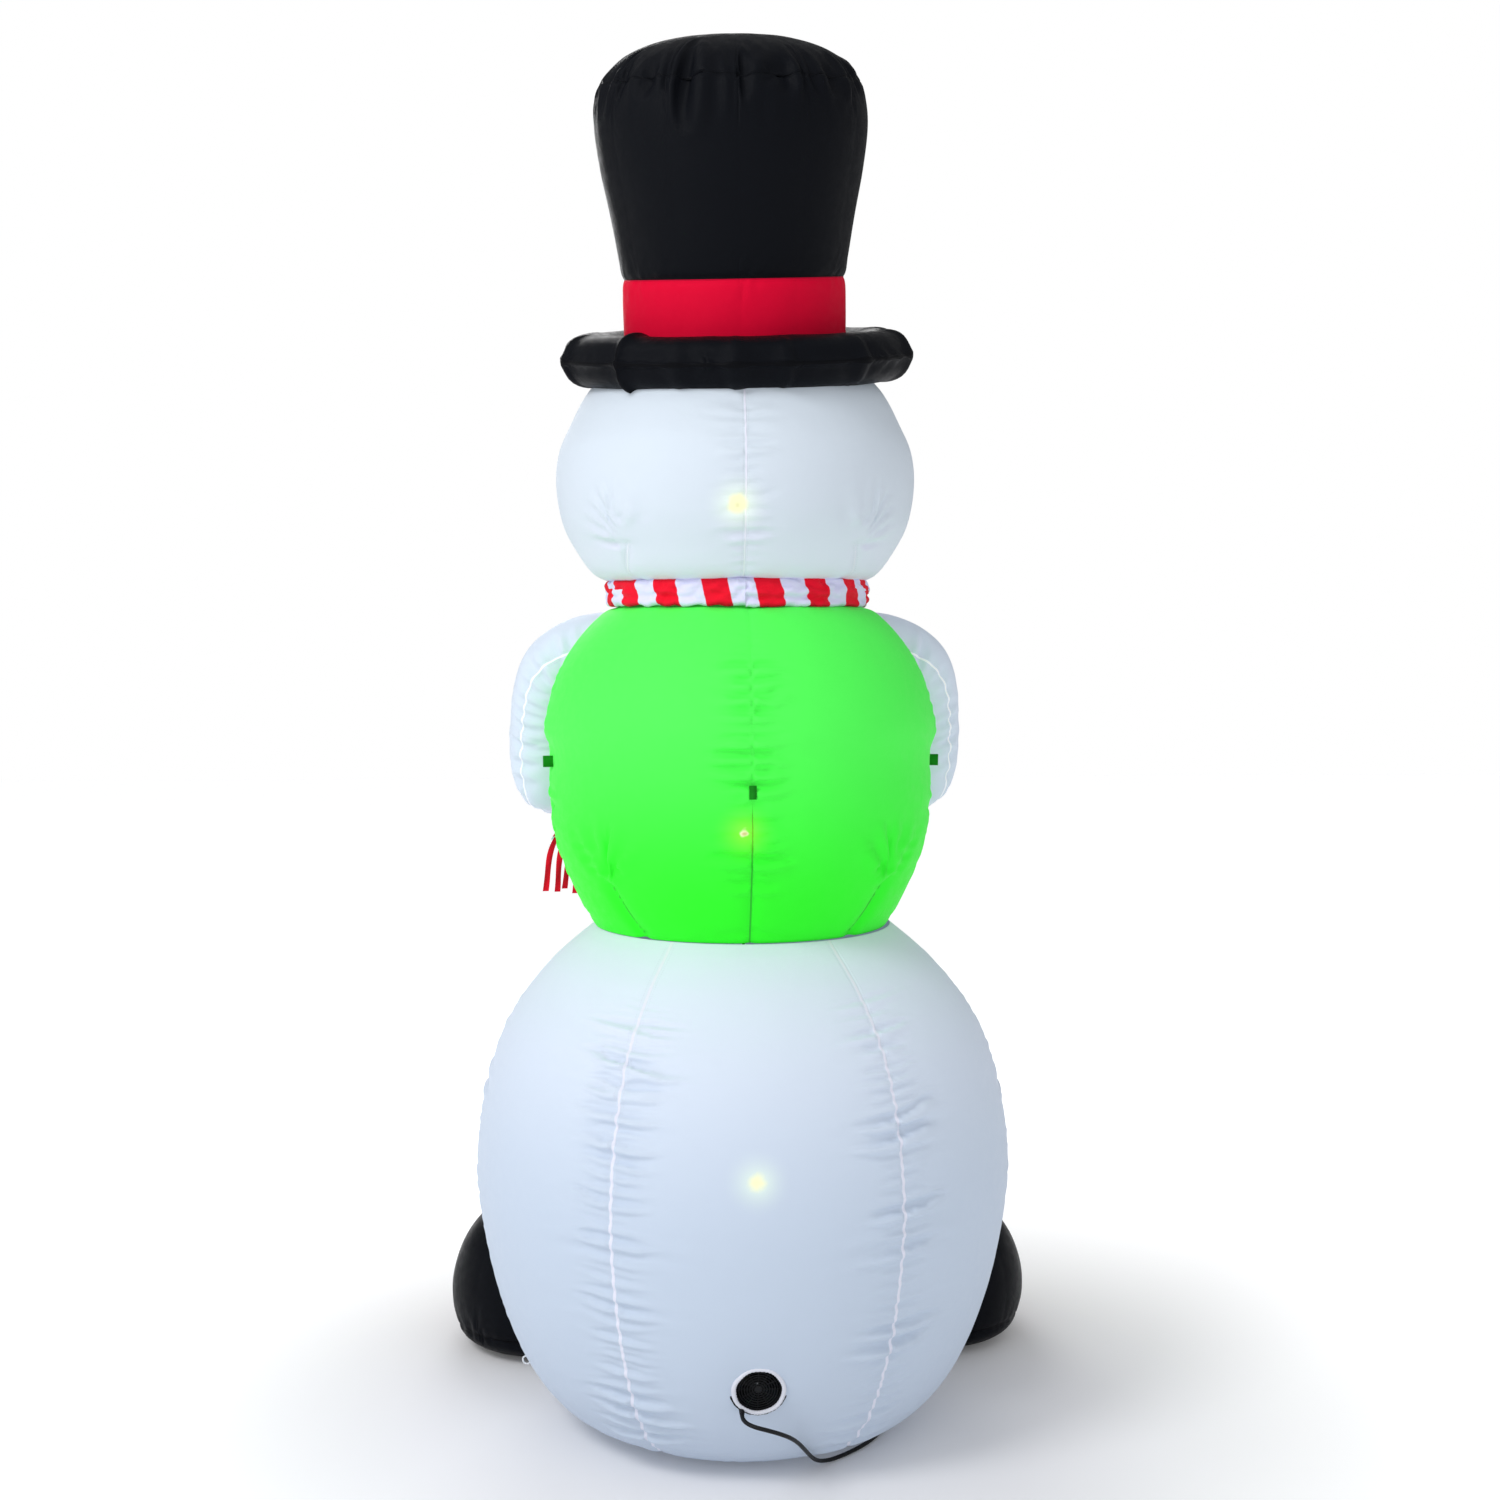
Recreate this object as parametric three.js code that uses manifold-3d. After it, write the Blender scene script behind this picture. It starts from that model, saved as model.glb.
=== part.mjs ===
// Inflatable yard snowman, 2.44 m (8 ft) tall: a sewn nylon envelope kept up by a small fan.
// Millimetres, +Z up, origin on the ground at the middle of the base panel. The snowman faces -Y,
// its own left is +X, and the fan's air inlet is low on its back, on the +Y side.
import * as THREE from 'three';
import { mergeVertices } from 'three/addons/utils/BufferGeometryUtils.js';
import Module from 'manifold-3d';

const wasm = await Module();
wasm.setup();

// ---------- driving dimensions ----------
const cloth = 3; // thickness that every fabric wall is given
const gap = 0.4; // clearance between neighbouring pieces
const facets = 24; // facets around a body section

// [radius, height] outlines of the body sections
const ballOutline = [
  [205, 0], [267, 12], [329, 45], [387, 115], [442, 250], [474, 420],
  [475, 510], [455, 630], [420, 725], [350, 820], [265, 896],
];
const vestOutline = [
  [262, 897], [292, 952], [327, 1039], [339, 1125], [340, 1200], [344, 1265],
  [325, 1340], [288, 1403], [240, 1452], [212, 1464], [208, 1484],
];
const headOutline = [
  [208, 1485], [214, 1504], [248, 1521], [281, 1565], [302, 1607], [314, 1680],
  [308, 1734], [290, 1776], [258, 1836], [215, 1880], [187, 1902],
];
// the hat's outlines start from the middle of its brim
const brimOutline = [
  [200, 16], [228, 33], [268, 42], [298, 30], [310, 0], [298, -30], [268, -42], [240, -38],
];
const bandOutline = [[198.5, 28], [198.5, 135]];
const crownOutline = [[198.5, 135.5], [203, 164], [217, 245], [232, 324], [239.6, 404], [225, 464]];
const topOutline = [[225, 467], [184, 505], [120, 530], [0, 541]];

const vestShift = 4; // the upper sections stand a little to the snowman's left of the ball
const headShift = 13;
const hatShift = 9;
const brimHeight = 1905;
const hatLean = THREE.MathUtils.degToRad(9.5); // backwards
const hatRoll = THREE.MathUtils.degToRad(1.6); // to the snowman's left

const neckHeight = 1485;
const scarf = { inner: 216, outer: 238, low: 1467, high: 1505 };
const tailWidth = 90;
const tailThickness = 5;

const armRadius = 74;
const armRoute = [[242, -116, 1400], [327, -158, 1342], [351, -210, 1240], [347, -262, 1148], [290, -378, 1165]];
const mitten = { wrist: 74, palm: 88, length: 175, thumb: 34 };
const boot = { x: 391, shift: -16, y: -386, side: 177, heel: 180, toe: 290, above: 185, below: 111 };

const inletHeight = 190;
const inletTilt = THREE.MathUtils.degToRad(14); // the fan's axis points this far down
const fan = { radius: 41.5, housing: 46, wall: 3, depth: 95, shaft: 2.5, can: 17, bush: 5.1 };
const collar = { inner: 37.5, outer: 48.5 };
const blades = 7;

const zipperHeight = 160;
const zipperHalfAngle = THREE.MathUtils.degToRad(15);
const sliderRestAngle = THREE.MathUtils.degToRad(-13); // closed, at the snowman's right-hand end

const cordRadius = 3.5;
const coil = { x: -50, y: -372, mean: 38.5, width: 15, height: 14.6 };

// ---------- materials ----------
const finish = (color, roughness, metalness = 0) =>
  new THREE.MeshStandardMaterial({ color, roughness, metalness });
const whiteNylon = finish(0xe6eef8, 0.6);
const greenNylon = finish(0x46f04e, 0.6);
const blackNylon = finish(0x15161a, 0.6);
const redNylon = finish(0xd2102f, 0.6);
const orangeNylon = finish(0xf07818, 0.6);
const blackPlastic = finish(0x101114, 0.45);
const steel = finish(0x9a9ea4, 0.35, 1);
const bronze = finish(0xa8763a, 0.4, 1);
const lampPlastic = finish(0xf4f4e6, 0.3);
const cordRubber = finish(0x111214, 0.5);

// ---------- geometry helpers ----------
// A closed triangle mesh with shared corners merged, slivers dropped and its faces outward.
function closed(geometry) {
  const bare = new THREE.BufferGeometry();
  bare.setAttribute('position', geometry.getAttribute('position'));
  if (geometry.index) bare.setIndex(geometry.index);
  const merged = mergeVertices(bare, 1e-3);
  const corner = [0, 1, 2].map(() => new THREE.Vector3());
  const position = merged.getAttribute('position');
  const triangles = [];
  let volume = 0;
  for (let i = 0; i < merged.index.count; i += 3) {
    const [a, b, c] = [0, 1, 2].map((k) => merged.index.getX(i + k));
    if (a === b || b === c || c === a) continue;
    triangles.push([a, b, c]);
    [a, b, c].forEach((v, k) => corner[k].fromBufferAttribute(position, v));
    volume += corner[0].dot(corner[1].clone().cross(corner[2]));
  }
  merged.setIndex(triangles.flatMap(([a, b, c]) => (volume > 0 ? [a, b, c] : [a, c, b])));
  return merged;
}

function solid(geometry) {
  const mesh = closed(geometry);
  return new wasm.Manifold(new wasm.Mesh({
    numProp: 3,
    vertProperties: new Float32Array(mesh.getAttribute('position').array),
    triVerts: new Uint32Array(mesh.index.array),
  }));
}

function geometryOf(manifold) {
  const mesh = manifold.getMesh();
  const geometry = new THREE.BufferGeometry();
  geometry.setAttribute('position', new THREE.BufferAttribute(mesh.vertProperties, 3));
  geometry.setIndex(new THREE.BufferAttribute(mesh.triVerts, 1));
  return geometry;
}

const join = (...geometries) => geometryOf(geometries.map(solid).reduce((a, b) => a.add(b)));
const cut = (geometry, ...tools) =>
  geometryOf(tools.map(solid).reduce((a, b) => a.subtract(b), solid(geometry)));

// A profile of [radius, height] points turned about the Z axis.
const revolve = (points, segments = facets) =>
  new THREE.LatheGeometry(points.map(([r, z]) => new THREE.Vector2(r, z)), segments).rotateX(Math.PI / 2);

const smooth = (outline, steps) =>
  new THREE.SplineCurve(outline.map(([r, z]) => new THREE.Vector2(r, z)))
    .getSpacedPoints(steps)
    .map((p) => [Math.max(p.x, 0), p.y]);

// The profile moved inwards (or outwards, where depth is negative) along its own normals.
function offset(points, depth) {
  return points.map(([r, z], i) => {
    const [r0, z0] = points[Math.max(i - 1, 0)];
    const [r1, z1] = points[Math.min(i + 1, points.length - 1)];
    const length = Math.hypot(r1 - r0, z1 - z0);
    return [Math.max(r - ((z1 - z0) / length) * depth, 0), z + ((r1 - r0) / length) * depth];
  });
}

// A fabric wall that is open at both ends.
function openSkin(points, segments) {
  const inner = offset(points, cloth).reverse();
  return revolve([...points, ...inner, points[0]], segments);
}

// A fabric wall that closes over the axis at its top.
function domeSkin(points, segments) {
  const inner = offset(points, cloth).reverse();
  inner[0] = [0, points.at(-1)[1] - cloth];
  return revolve([...inner, ...points], segments);
}

// The space inside an outline, grown by the clearance, as one filled solid.
function filled(points) {
  const grown = offset(points, -gap);
  return revolve([[0, grown[0][1]], ...grown, [0, grown.at(-1)[1]]]);
}

const ring = (inner, outer, low, high, segments = 20) =>
  revolve([[inner, low], [outer, low], [outer, high], [inner, high], [inner, low]], segments);

const rod = (radius, low, high, segments = 12) =>
  revolve([[0, low], [radius, low], [radius, high], [0, high]], segments);

const route = (points) => new THREE.CatmullRomCurve3(points.map((p) => new THREE.Vector3(...p)), false, 'centripetal');

function tube(curve, radius, steps, sides, bore = 0) {
  const section = new THREE.Shape();
  const turn = (i) => (i / sides) * 2 * Math.PI;
  for (let i = 0; i < sides; i++) {
    const [x, y] = [radius * Math.cos(turn(i)), radius * Math.sin(turn(i))];
    if (i) section.lineTo(x, y);
    else section.moveTo(x, y);
  }
  if (bore) {
    const hole = new THREE.Path();
    for (let i = 0; i < sides; i++) {
      const [x, y] = [bore * Math.cos(turn(i)), -bore * Math.sin(turn(i))];
      if (i) hole.lineTo(x, y);
      else hole.moveTo(x, y);
    }
    section.holes.push(hole);
  }
  return new THREE.ExtrudeGeometry(section, { steps, extrudePath: curve, bevelEnabled: false });
}

// A flat strip through the stations [middle, direction across its width].
function strip(stations, width, thickness) {
  const corners = [];
  stations.forEach(([middle, across], i) => {
    const before = stations[Math.max(i - 1, 0)][0];
    const after = stations[Math.min(i + 1, stations.length - 1)][0];
    const along = after.clone().sub(before).normalize();
    const out = along.clone().cross(across).normalize();
    for (const [w, t] of [[-1, -1], [1, -1], [1, 1], [-1, 1]]) {
      corners.push(...middle.clone().addScaledVector(across, (w * width) / 2)
        .addScaledVector(out, (t * thickness) / 2).toArray());
    }
  });
  const faces = [];
  const quad = (a, b, c, d) => faces.push(a, b, c, a, c, d);
  for (let i = 0; i < stations.length - 1; i++) {
    for (let k = 0; k < 4; k++) {
      const [a, b] = [4 * i + k, 4 * i + ((k + 1) % 4)];
      quad(a, b, b + 4, a + 4);
    }
  }
  const last = 4 * (stations.length - 1);
  quad(3, 2, 1, 0);
  quad(last, last + 1, last + 2, last + 3);
  const geometry = new THREE.BufferGeometry();
  geometry.setAttribute('position', new THREE.Float32BufferAttribute(corners, 3));
  geometry.setIndex(faces);
  return geometry;
}

// The radius and outward slope of an outline at a height.
function surfaceAt(points, height) {
  const i = points.findIndex(([, z], k) => k > 0 && z >= height);
  const [[r0, z0], [r1, z1]] = [points[i - 1], points[i]];
  const radius = r0 + ((r1 - r0) * (height - z0)) / (z1 - z0);
  return { radius, slope: Math.atan2(r1 - r0, z1 - z0) };
}

// ---------- the assembly ----------
const snowman = new THREE.Group();

function piece(name, geometry, material, parent = snowman) {
  const mesh = new THREE.Mesh(closed(geometry), material);
  mesh.name = name;
  parent.add(mesh);
  return mesh;
}

// A group on a body section's surface: +Z points out of it, +Y up along it. Angles run from the
// front, and are positive towards the snowman's left.
function onSurface(points, height, angle, lift = gap, shift = 0) {
  const { radius, slope } = surfaceAt(points, height);
  const group = new THREE.Group();
  const out = new THREE.Vector3(Math.sin(angle), -Math.cos(angle), -Math.tan(slope)).normalize();
  const side = new THREE.Vector3(Math.cos(angle), Math.sin(angle), 0);
  const up = out.clone().cross(side);
  group.quaternion.setFromRotationMatrix(new THREE.Matrix4().makeBasis(side, up, out));
  group.position.set(Math.sin(angle) * radius + shift, -Math.cos(angle) * radius, height);
  group.position.addScaledVector(out, lift);
  snowman.add(group);
  return group;
}

const ball = smooth(ballOutline, 11);
const vest = smooth(vestOutline, 8);
const head = smooth(headOutline, 8);

// Body sections
const inletRadius = surfaceAt(ball, inletHeight).radius;
const inlet = new THREE.Group();
inlet.position.set(0, inletRadius, inletHeight);
inlet.rotation.x = -(Math.PI / 2 + inletTilt);
inlet.updateMatrix();
const inletHole = rod(collar.outer + gap, -60, 60, 24).applyMatrix4(inlet.matrix);
snowman.add(inlet);

piece('lower_body_skin', cut(openSkin(ball), inletHole), whiteNylon);
piece('base_panel', rod(ballOutline[0][0] - 1.2, 0, cloth, facets), whiteNylon);
piece('vest_skin', openSkin(vest), greenNylon).position.x = vestShift;
piece('head_skin', openSkin(head), whiteNylon).position.x = headShift;

// Hat, leaning back on the head
const hat = new THREE.Group();
hat.position.set(hatShift, 0, brimHeight);
hat.rotation.set(-hatLean, hatRoll, 0);
hat.updateMatrix();
snowman.add(hat);
const headInHat = filled(head).translate(headShift, 0, 0).applyMatrix4(hat.matrix.clone().invert());
piece('hat_brim', cut(openSkin(smooth(brimOutline, 8)), headInHat), blackNylon, hat);
piece('hat_band', cut(openSkin(bandOutline), headInHat), redNylon, hat);
piece('hat_crown', openSkin(smooth(crownOutline, 5)), blackNylon, hat);
piece('hat_top', domeSkin(smooth(topOutline, 4)), blackNylon, hat);

// Scarf: a roll around the neck, a knot at the front left, and two tails
const roll = [
  [scarf.inner, scarf.low + 6], [scarf.inner + 9, scarf.low], [scarf.outer - 5, scarf.low + 5],
  [scarf.outer, neckHeight + 1], [scarf.outer - 5, scarf.high - 5], [scarf.inner + 9, scarf.high],
  [scarf.inner, scarf.high - 6], [scarf.inner, scarf.low + 6],
];
const neckInside = [filled(vest).translate(vestShift, 0, 0), filled(head).translate(headShift, 0, 0)];
piece('scarf_wrap', cut(revolve(roll).translate(headShift, 0, 0), ...neckInside), redNylon);
const knotAngle = THREE.MathUtils.degToRad(26);
const knot = new THREE.SphereGeometry(1, 12, 8).scale(42, 26, 34);
knot.rotateZ(knotAngle).translate(
  headShift + Math.sin(knotAngle) * (scarf.outer + 27), -Math.cos(knotAngle) * (scarf.outer + 27), neckHeight,
);
piece('scarf_knot', cut(knot, ...neckInside), redNylon);

// [angle from the front in degrees, height, distance from the axis]
const leftTail = [
  [37, 1444, 264], [37, 1385, 312], [38, 1320, 342], [40, 1240, 350], [42, 1150, 348],
  [50, 1075, 354], [57, 1010, 386], [60, 925, 405],
];
const rightTail = [[16, 1444, 264], [16, 1385, 312], [16, 1300, 348], [16, 1200, 350], [16, 1080, 349]];
for (const [name, stations] of [['scarf_tail_left', leftTail], ['scarf_tail_right', rightTail]]) {
  const places = stations.map(([degrees, height, radius]) => {
    const angle = THREE.MathUtils.degToRad(degrees);
    const across = new THREE.Vector3(Math.cos(angle), Math.sin(angle), 0);
    return [new THREE.Vector3(radius * Math.sin(angle), -radius * Math.cos(angle), height), across];
  });
  piece(name, strip(places, tailWidth, tailThickness), redNylon);
}

// Arms and mittens, boots: the same on both sides, mirrored
const mirrored = ([x, y, z], side) => [side * x, y, z];
const vestInside = filled(vest).translate(vestShift, 0, 0);
const ballInside = filled(ball);

function bootShape(shrink) {
  const shape = new THREE.SphereGeometry(1, 18, 10);
  const place = shape.getAttribute('position');
  for (let i = 0; i < place.count; i++) {
    const [x, y, z] = [place.getX(i), place.getZ(i), -place.getY(i)];
    const length = (y > 0 ? boot.heel : boot.toe) - shrink;
    const height = (z > 0 ? boot.above : boot.below) - shrink;
    place.setXYZ(i, x * (boot.side - shrink), y * length, z * height + boot.below);
  }
  return shape;
}

for (const [word, side] of [['left', 1], ['right', -1]]) {
  const arm = route(armRoute.map((p) => mirrored(p, side)));
  const sleeve = tube(arm, armRadius, 8, 10, armRadius - cloth);
  piece(`${word}_arm`, cut(sleeve, vestInside), whiteNylon);

  const hand = new THREE.Group();
  hand.position.copy(arm.getPoint(1)).addScaledVector(arm.getTangent(1), gap);
  hand.quaternion.setFromUnitVectors(new THREE.Vector3(0, 0, 1), arm.getTangent(1));
  snowman.add(hand);
  const palm = smooth(
    [[mitten.wrist, 0], [mitten.palm, 55], [mitten.palm - 8, 115], [46, 160], [0, mitten.length]], 5,
  );
  const thumb = new THREE.SphereGeometry(mitten.thumb, 8, 6).scale(1, 1, 1.6);
  thumb.rotateY(-side * 0.5).translate(-side * 74, 0, 78);
  const hollow = filled(offset(palm, cloth)).translate(0, 0, -gap);
  piece(`${word}_mitten`, join(cut(thumb, hollow), domeSkin(palm, 12)), redNylon, hand);

  const centre = [side * boot.x + boot.shift, boot.y, 0];
  const footShell = cut(bootShape(0), bootShape(cloth)).translate(...centre);
  piece(`${word}_boot`, cut(footShell, ballInside), blackNylon);
}

// Buttons on the vest and the face on the head, each sewn on
const badge = (radius, thickness) => rod(radius, 0, thickness, 14);
for (const [word, height] of [['upper', 1352], ['middle', 1215], ['lower', 1040]]) {
  piece(`button_${word}`, badge(27, 9), blackNylon, onSurface(vest, height, 0, gap, vestShift));
}
const faceAngle = (degrees) => THREE.MathUtils.degToRad(degrees);
piece('left_eye', badge(25, 6), blackNylon, onSurface(head, 1752, faceAngle(19), gap, headShift));
piece('right_eye', badge(25, 6), blackNylon, onSurface(head, 1752, faceAngle(-19), gap, headShift));
const carrot = smooth([[40, 0], [41, 22], [30, 80], [17, 135], [0, 172]], 5);
piece('carrot_nose', domeSkin(carrot, 12), orangeNylon, onSurface(head, 1688, 0, gap, headShift));
const mouthAngles = [-26, -14, 0, 14, 26];
mouthAngles.forEach((degrees, i) => {
  const height = 1590 + 30 * (degrees / 26) ** 2;
  const place = onSurface(head, height, faceAngle(degrees), gap, headShift);
  piece(`mouth_coal_${i + 1}`, badge(14, 5), blackNylon, place);
});

// Tether points: green tabs around the vest, cord loops low on the ball
for (const [word, degrees, height] of [['back', 180, 1158], ['left', 97, 1190], ['right', -97, 1190]]) {
  const tab = new THREE.BoxGeometry(14, 27, 4).translate(0, 0, 2);
  piece(`tether_tab_${word}`, tab, greenNylon, onSurface(vest, height, faceAngle(degrees), gap, vestShift));
}
for (const [word, degrees] of [['left', 92], ['right', -92]]) {
  const loop = new THREE.TorusGeometry(8.5, 1.5, 6, 10).rotateY(Math.PI / 2).translate(0, 0, 10 + gap);
  piece(`tether_loop_${word}`, loop, whiteNylon, onSurface(ball, 108, faceAngle(degrees), gap));
}

// ---------- the fan, in the inlet's frame: +Z points out of the snowman ----------
const reliefPlace = [27, 33.5]; // the cord leaves low, to the snowman's left of the inlet's middle
const reliefHole = rod(4.6 + gap, -12, 12).translate(...reliefPlace, 0);
piece('inlet_collar', cut(ring(collar.inner, collar.outer, -2, 4), reliefHole), whiteNylon, inlet);
const bezel = cut(ring(collar.inner + gap, collar.outer - 0.5, -8, -2.4), reliefHole);
piece('intake_bezel', bezel, blackPlastic, inlet);

const grilleRings = [36.2, 24, 12].map((r) => ring(r - 1.1, r + 1.1, -6, -3.4, 18));
const grilleBars = [0, 1, 2].map((i) =>
  new THREE.BoxGeometry(74, 2.2, 2).translate(0, 0, -4.8).rotateZ((i * Math.PI) / 3));
piece('intake_grille', join(...grilleRings, ...grilleBars), blackPlastic, inlet);
piece('fan_housing', ring(fan.housing - fan.wall, fan.housing, -fan.depth, -8.4), blackPlastic, inlet);

const spiderArms = [0, 1, 2].map((i) =>
  new THREE.BoxGeometry(22, 5, 6).translate(30.5, 0, -81).rotateZ((i * 2 * Math.PI) / 3));
const spiderRim = ring(39.5, fan.housing - fan.wall - gap, -84, -78);
const spiderHub = ring(fan.can + gap, 21, -84, -78);
piece('motor_spider', join(spiderRim, spiderHub, ...spiderArms), blackPlastic, inlet);

const bladeShapes = Array.from({ length: blades }, (_, i) =>
  new THREE.BoxGeometry(fan.radius - 13, 19, 1.6).rotateX(0.6).translate(13 + (fan.radius - 13) / 2, 0, -33)
    .rotateZ((i * 2 * Math.PI) / blades));
piece('impeller', join(ring(fan.shaft + gap, 15, -44, -22), ...bladeShapes), blackPlastic, inlet);
piece('motor_shaft', rod(fan.shaft, -88, -21), steel, inlet);
piece('armature', ring(fan.shaft + gap, 13.5, -80, -56, 14), bronze, inlet);
const canProfile = [
  [fan.bush + gap, -50], [fan.can, -50], [fan.can, -86], [fan.can - 1.8, -86],
  [fan.can - 1.8, -52], [fan.bush + gap, -52], [fan.bush + gap, -50],
];
piece('motor_can', revolve(canProfile, 16), steel, inlet);
piece('motor_end_cap', ring(fan.bush + gap, fan.can - 1.8 - gap, -85.5, -83, 16), blackPlastic, inlet);
piece('front_bush', ring(fan.shaft + gap, fan.bush, -53, -49.5, 12), bronze, inlet);
piece('rear_bush', ring(fan.shaft + gap, fan.bush, -86.5, -82, 12), bronze, inlet);
const relief = revolve([[0, -8], [4.6, -8], [4.6, 2], [cordRadius + 0.5, 14], [0, 14]], 16);
piece('strain_relief', relief.translate(...reliefPlace, 0), blackPlastic, inlet);

// ---------- lamps on one cable up the inside of the back ----------
const lampPlaces = [['ball', 5, 458, 546], ['vest', 17, 324, 1091], ['head', 27, 296, 1629]];
const lamp = { base: 22, lens: 18, radius: 9 };
for (const [word, x, tip, height] of lampPlaces) {
  const group = new THREE.Group();
  group.position.set(x, tip, height);
  group.rotation.x = -Math.PI / 2;
  snowman.add(group);
  piece(`lamp_base_${word}`, rod(lamp.radius, -lamp.lens - lamp.base, -lamp.lens - gap), blackPlastic, group);
  const dome = smooth([[lamp.radius + 1, -lamp.lens], [lamp.radius, -7], [5, -1.5], [0, 0]], 4);
  piece(`lamp_lens_${word}`, revolve([[0, -lamp.lens], ...dome], 10), lampPlastic, group);
}
const cableBehind = lamp.base + lamp.lens + 3;
const [ballLamp, vestLamp, headLamp] = lampPlaces.map(([, x, tip, height]) => [x, tip - cableBehind, height]);
const cableRoute = [
  [30, 335, 280], [14, 375, 360], [7, 408, 460], ballLamp, [8, 398, 640], [10, 330, 770],
  [12, 222, 890], [14, 232, 1000], vestLamp, [18, 262, 1220], [21, 190, 1400], [23, 165, 1484],
  [25, 200, 1560], headLamp,
];
piece('lamp_cable', tube(route(cableRoute), 2.4, 30, 8), blackPlastic);

// ---------- power lead: out of the inlet, to the ground and round under the ball to its coil ----------
const cordRoute = [
  [27, 427.5, 153.1], [25.1, 442.2, 150.4], [19.6, 452.2, 148.7], [11.2, 459.5, 147], [0.8, 463.3, 144.8],
  [-10.8, 463.2, 141.5], [-24, 458.2, 135.6], [-37, 448, 127.2], [-49, 433.8, 116.8], [-59.5, 417, 104.6],
  [-68.5, 398.5, 91], [-76.5, 379, 76.5], [-84, 358.5, 61.5], [-91.5, 337.5, 46.5], [-99.5, 316.5, 32],
  [-109, 296, 19.5], [-121, 277, 10.5], [-136, 260, 5.4], [-153, 244, 3.8], [-171, 228, 3.8],
  [-193, 205, 3.8], [-214, 178, 3.8], [-234, 143, 3.8], [-252, 100, 3.8], [-267, 52, 3.8], [-278, 0, 3.8],
  [-279, -50, 3.8], [-272, -98, 3.8], [-256, -144, 3.8], [-231, -188, 3.8], [-197, -232, 3.8],
  [-160, -270, 3.8], [-118, -302, 3.8], [-78, -319, 3.8], [-50, -321.5, 3.8],
];
piece('power_cord', tube(route(cordRoute), cordRadius, 60, 8), cordRubber);
const [coilInner, coilOuter] = [coil.mean - coil.width / 2, coil.mean + coil.width / 2];
piece('cord_coil', ring(coilInner, coilOuter, 0, coil.height, 28), cordRubber).position.set(coil.x, coil.y, 0);

const plug = new THREE.Group(); // lies on the coil, on its far side from where the cord comes in
plug.position.set(coil.x, coil.y - coil.mean, coil.height + gap + 8);
plug.rotation.z = Math.PI;
snowman.add(plug);
const plugBody = new THREE.BoxGeometry(34, 23, 16).translate(17, 0, 0);
const plugBlades = [-6.4, 6.4].map((y) => new THREE.BoxGeometry(18, 1.5, 6.3).translate(42, y, 0));
piece('power_plug', join(plugBody, ...plugBlades), blackPlastic, plug);

// ---------- deflation zipper, low on the front between the boots ----------
function sector(halfAngle) {
  const reach = 700;
  const wedge = new THREE.Shape();
  wedge.moveTo(0, 0);
  wedge.lineTo(-reach * Math.tan(halfAngle), -reach);
  wedge.lineTo(reach * Math.tan(halfAngle), -reach);
  return new THREE.ExtrudeGeometry(wedge, { depth: 400, bevelEnabled: false });
}
const { radius: zipperRadius, slope: zipperSlope } = surfaceAt(ball, zipperHeight);
// a point beside the skin at the zipper: up along the skin and out from it
const besideSkin = (up, out) => [
  zipperRadius + up * Math.sin(zipperSlope) + out * Math.cos(zipperSlope),
  zipperHeight + up * Math.cos(zipperSlope) - out * Math.sin(zipperSlope),
];
const tapeProfile = [
  besideSkin(-15, gap), besideSkin(15, gap), besideSkin(15, 1.6), besideSkin(3, 1.6),
  besideSkin(3, 3.4), besideSkin(-3, 3.4), besideSkin(-3, 1.6), besideSkin(-15, 1.6),
];
const tapeRing = revolve([...tapeProfile, tapeProfile[0]], 96);
const zipperTape = geometryOf(solid(tapeRing).intersect(solid(sector(zipperHalfAngle))));
piece('zipper_tape', zipperTape, whiteNylon);

const sliderGroup = onSurface(ball, zipperHeight, sliderRestAngle, 3.4 + gap + 1.2);
piece('zipper_slider', new THREE.BoxGeometry(10, 8, 3.6).translate(0, 0, 1.8), steel, sliderGroup);
const pullGroup = new THREE.Group(); // hangs straight down from the slider's lower front edge
pullGroup.position.copy(sliderGroup.position);
pullGroup.rotation.z = sliderRestAngle;
snowman.add(pullGroup);
const pull = new THREE.BoxGeometry(7, 2, 26).translate(0, -6.5, -13);
piece('zipper_pull', pull, steel, pullGroup);

export default snowman;
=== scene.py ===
"""Inflatable yard snowman: the looks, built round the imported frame.

Metres, +Z up. The snowman faces -Y, its own left is +X, and the fan's inlet is on its back.
Angles round a body section are measured from its back, and grow towards its own left.
"""
import math

import bmesh
import bpy
import numpy as np
from mathutils import Matrix, Vector


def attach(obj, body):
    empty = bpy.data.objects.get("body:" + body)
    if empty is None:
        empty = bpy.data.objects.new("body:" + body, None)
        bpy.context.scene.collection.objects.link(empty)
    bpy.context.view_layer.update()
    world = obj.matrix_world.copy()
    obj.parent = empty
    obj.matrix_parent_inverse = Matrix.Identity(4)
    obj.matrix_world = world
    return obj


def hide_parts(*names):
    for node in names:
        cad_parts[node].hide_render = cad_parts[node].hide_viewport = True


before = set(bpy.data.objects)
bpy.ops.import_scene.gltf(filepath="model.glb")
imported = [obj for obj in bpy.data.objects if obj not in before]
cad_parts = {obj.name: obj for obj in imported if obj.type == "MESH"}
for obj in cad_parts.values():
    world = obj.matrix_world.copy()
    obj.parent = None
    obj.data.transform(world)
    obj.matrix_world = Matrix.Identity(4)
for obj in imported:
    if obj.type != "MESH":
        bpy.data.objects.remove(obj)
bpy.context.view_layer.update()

MM = 0.001
TURN = 2 * math.pi
scene = bpy.context.scene
scene.view_settings.view_transform = "Standard"
deg = math.radians


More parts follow.
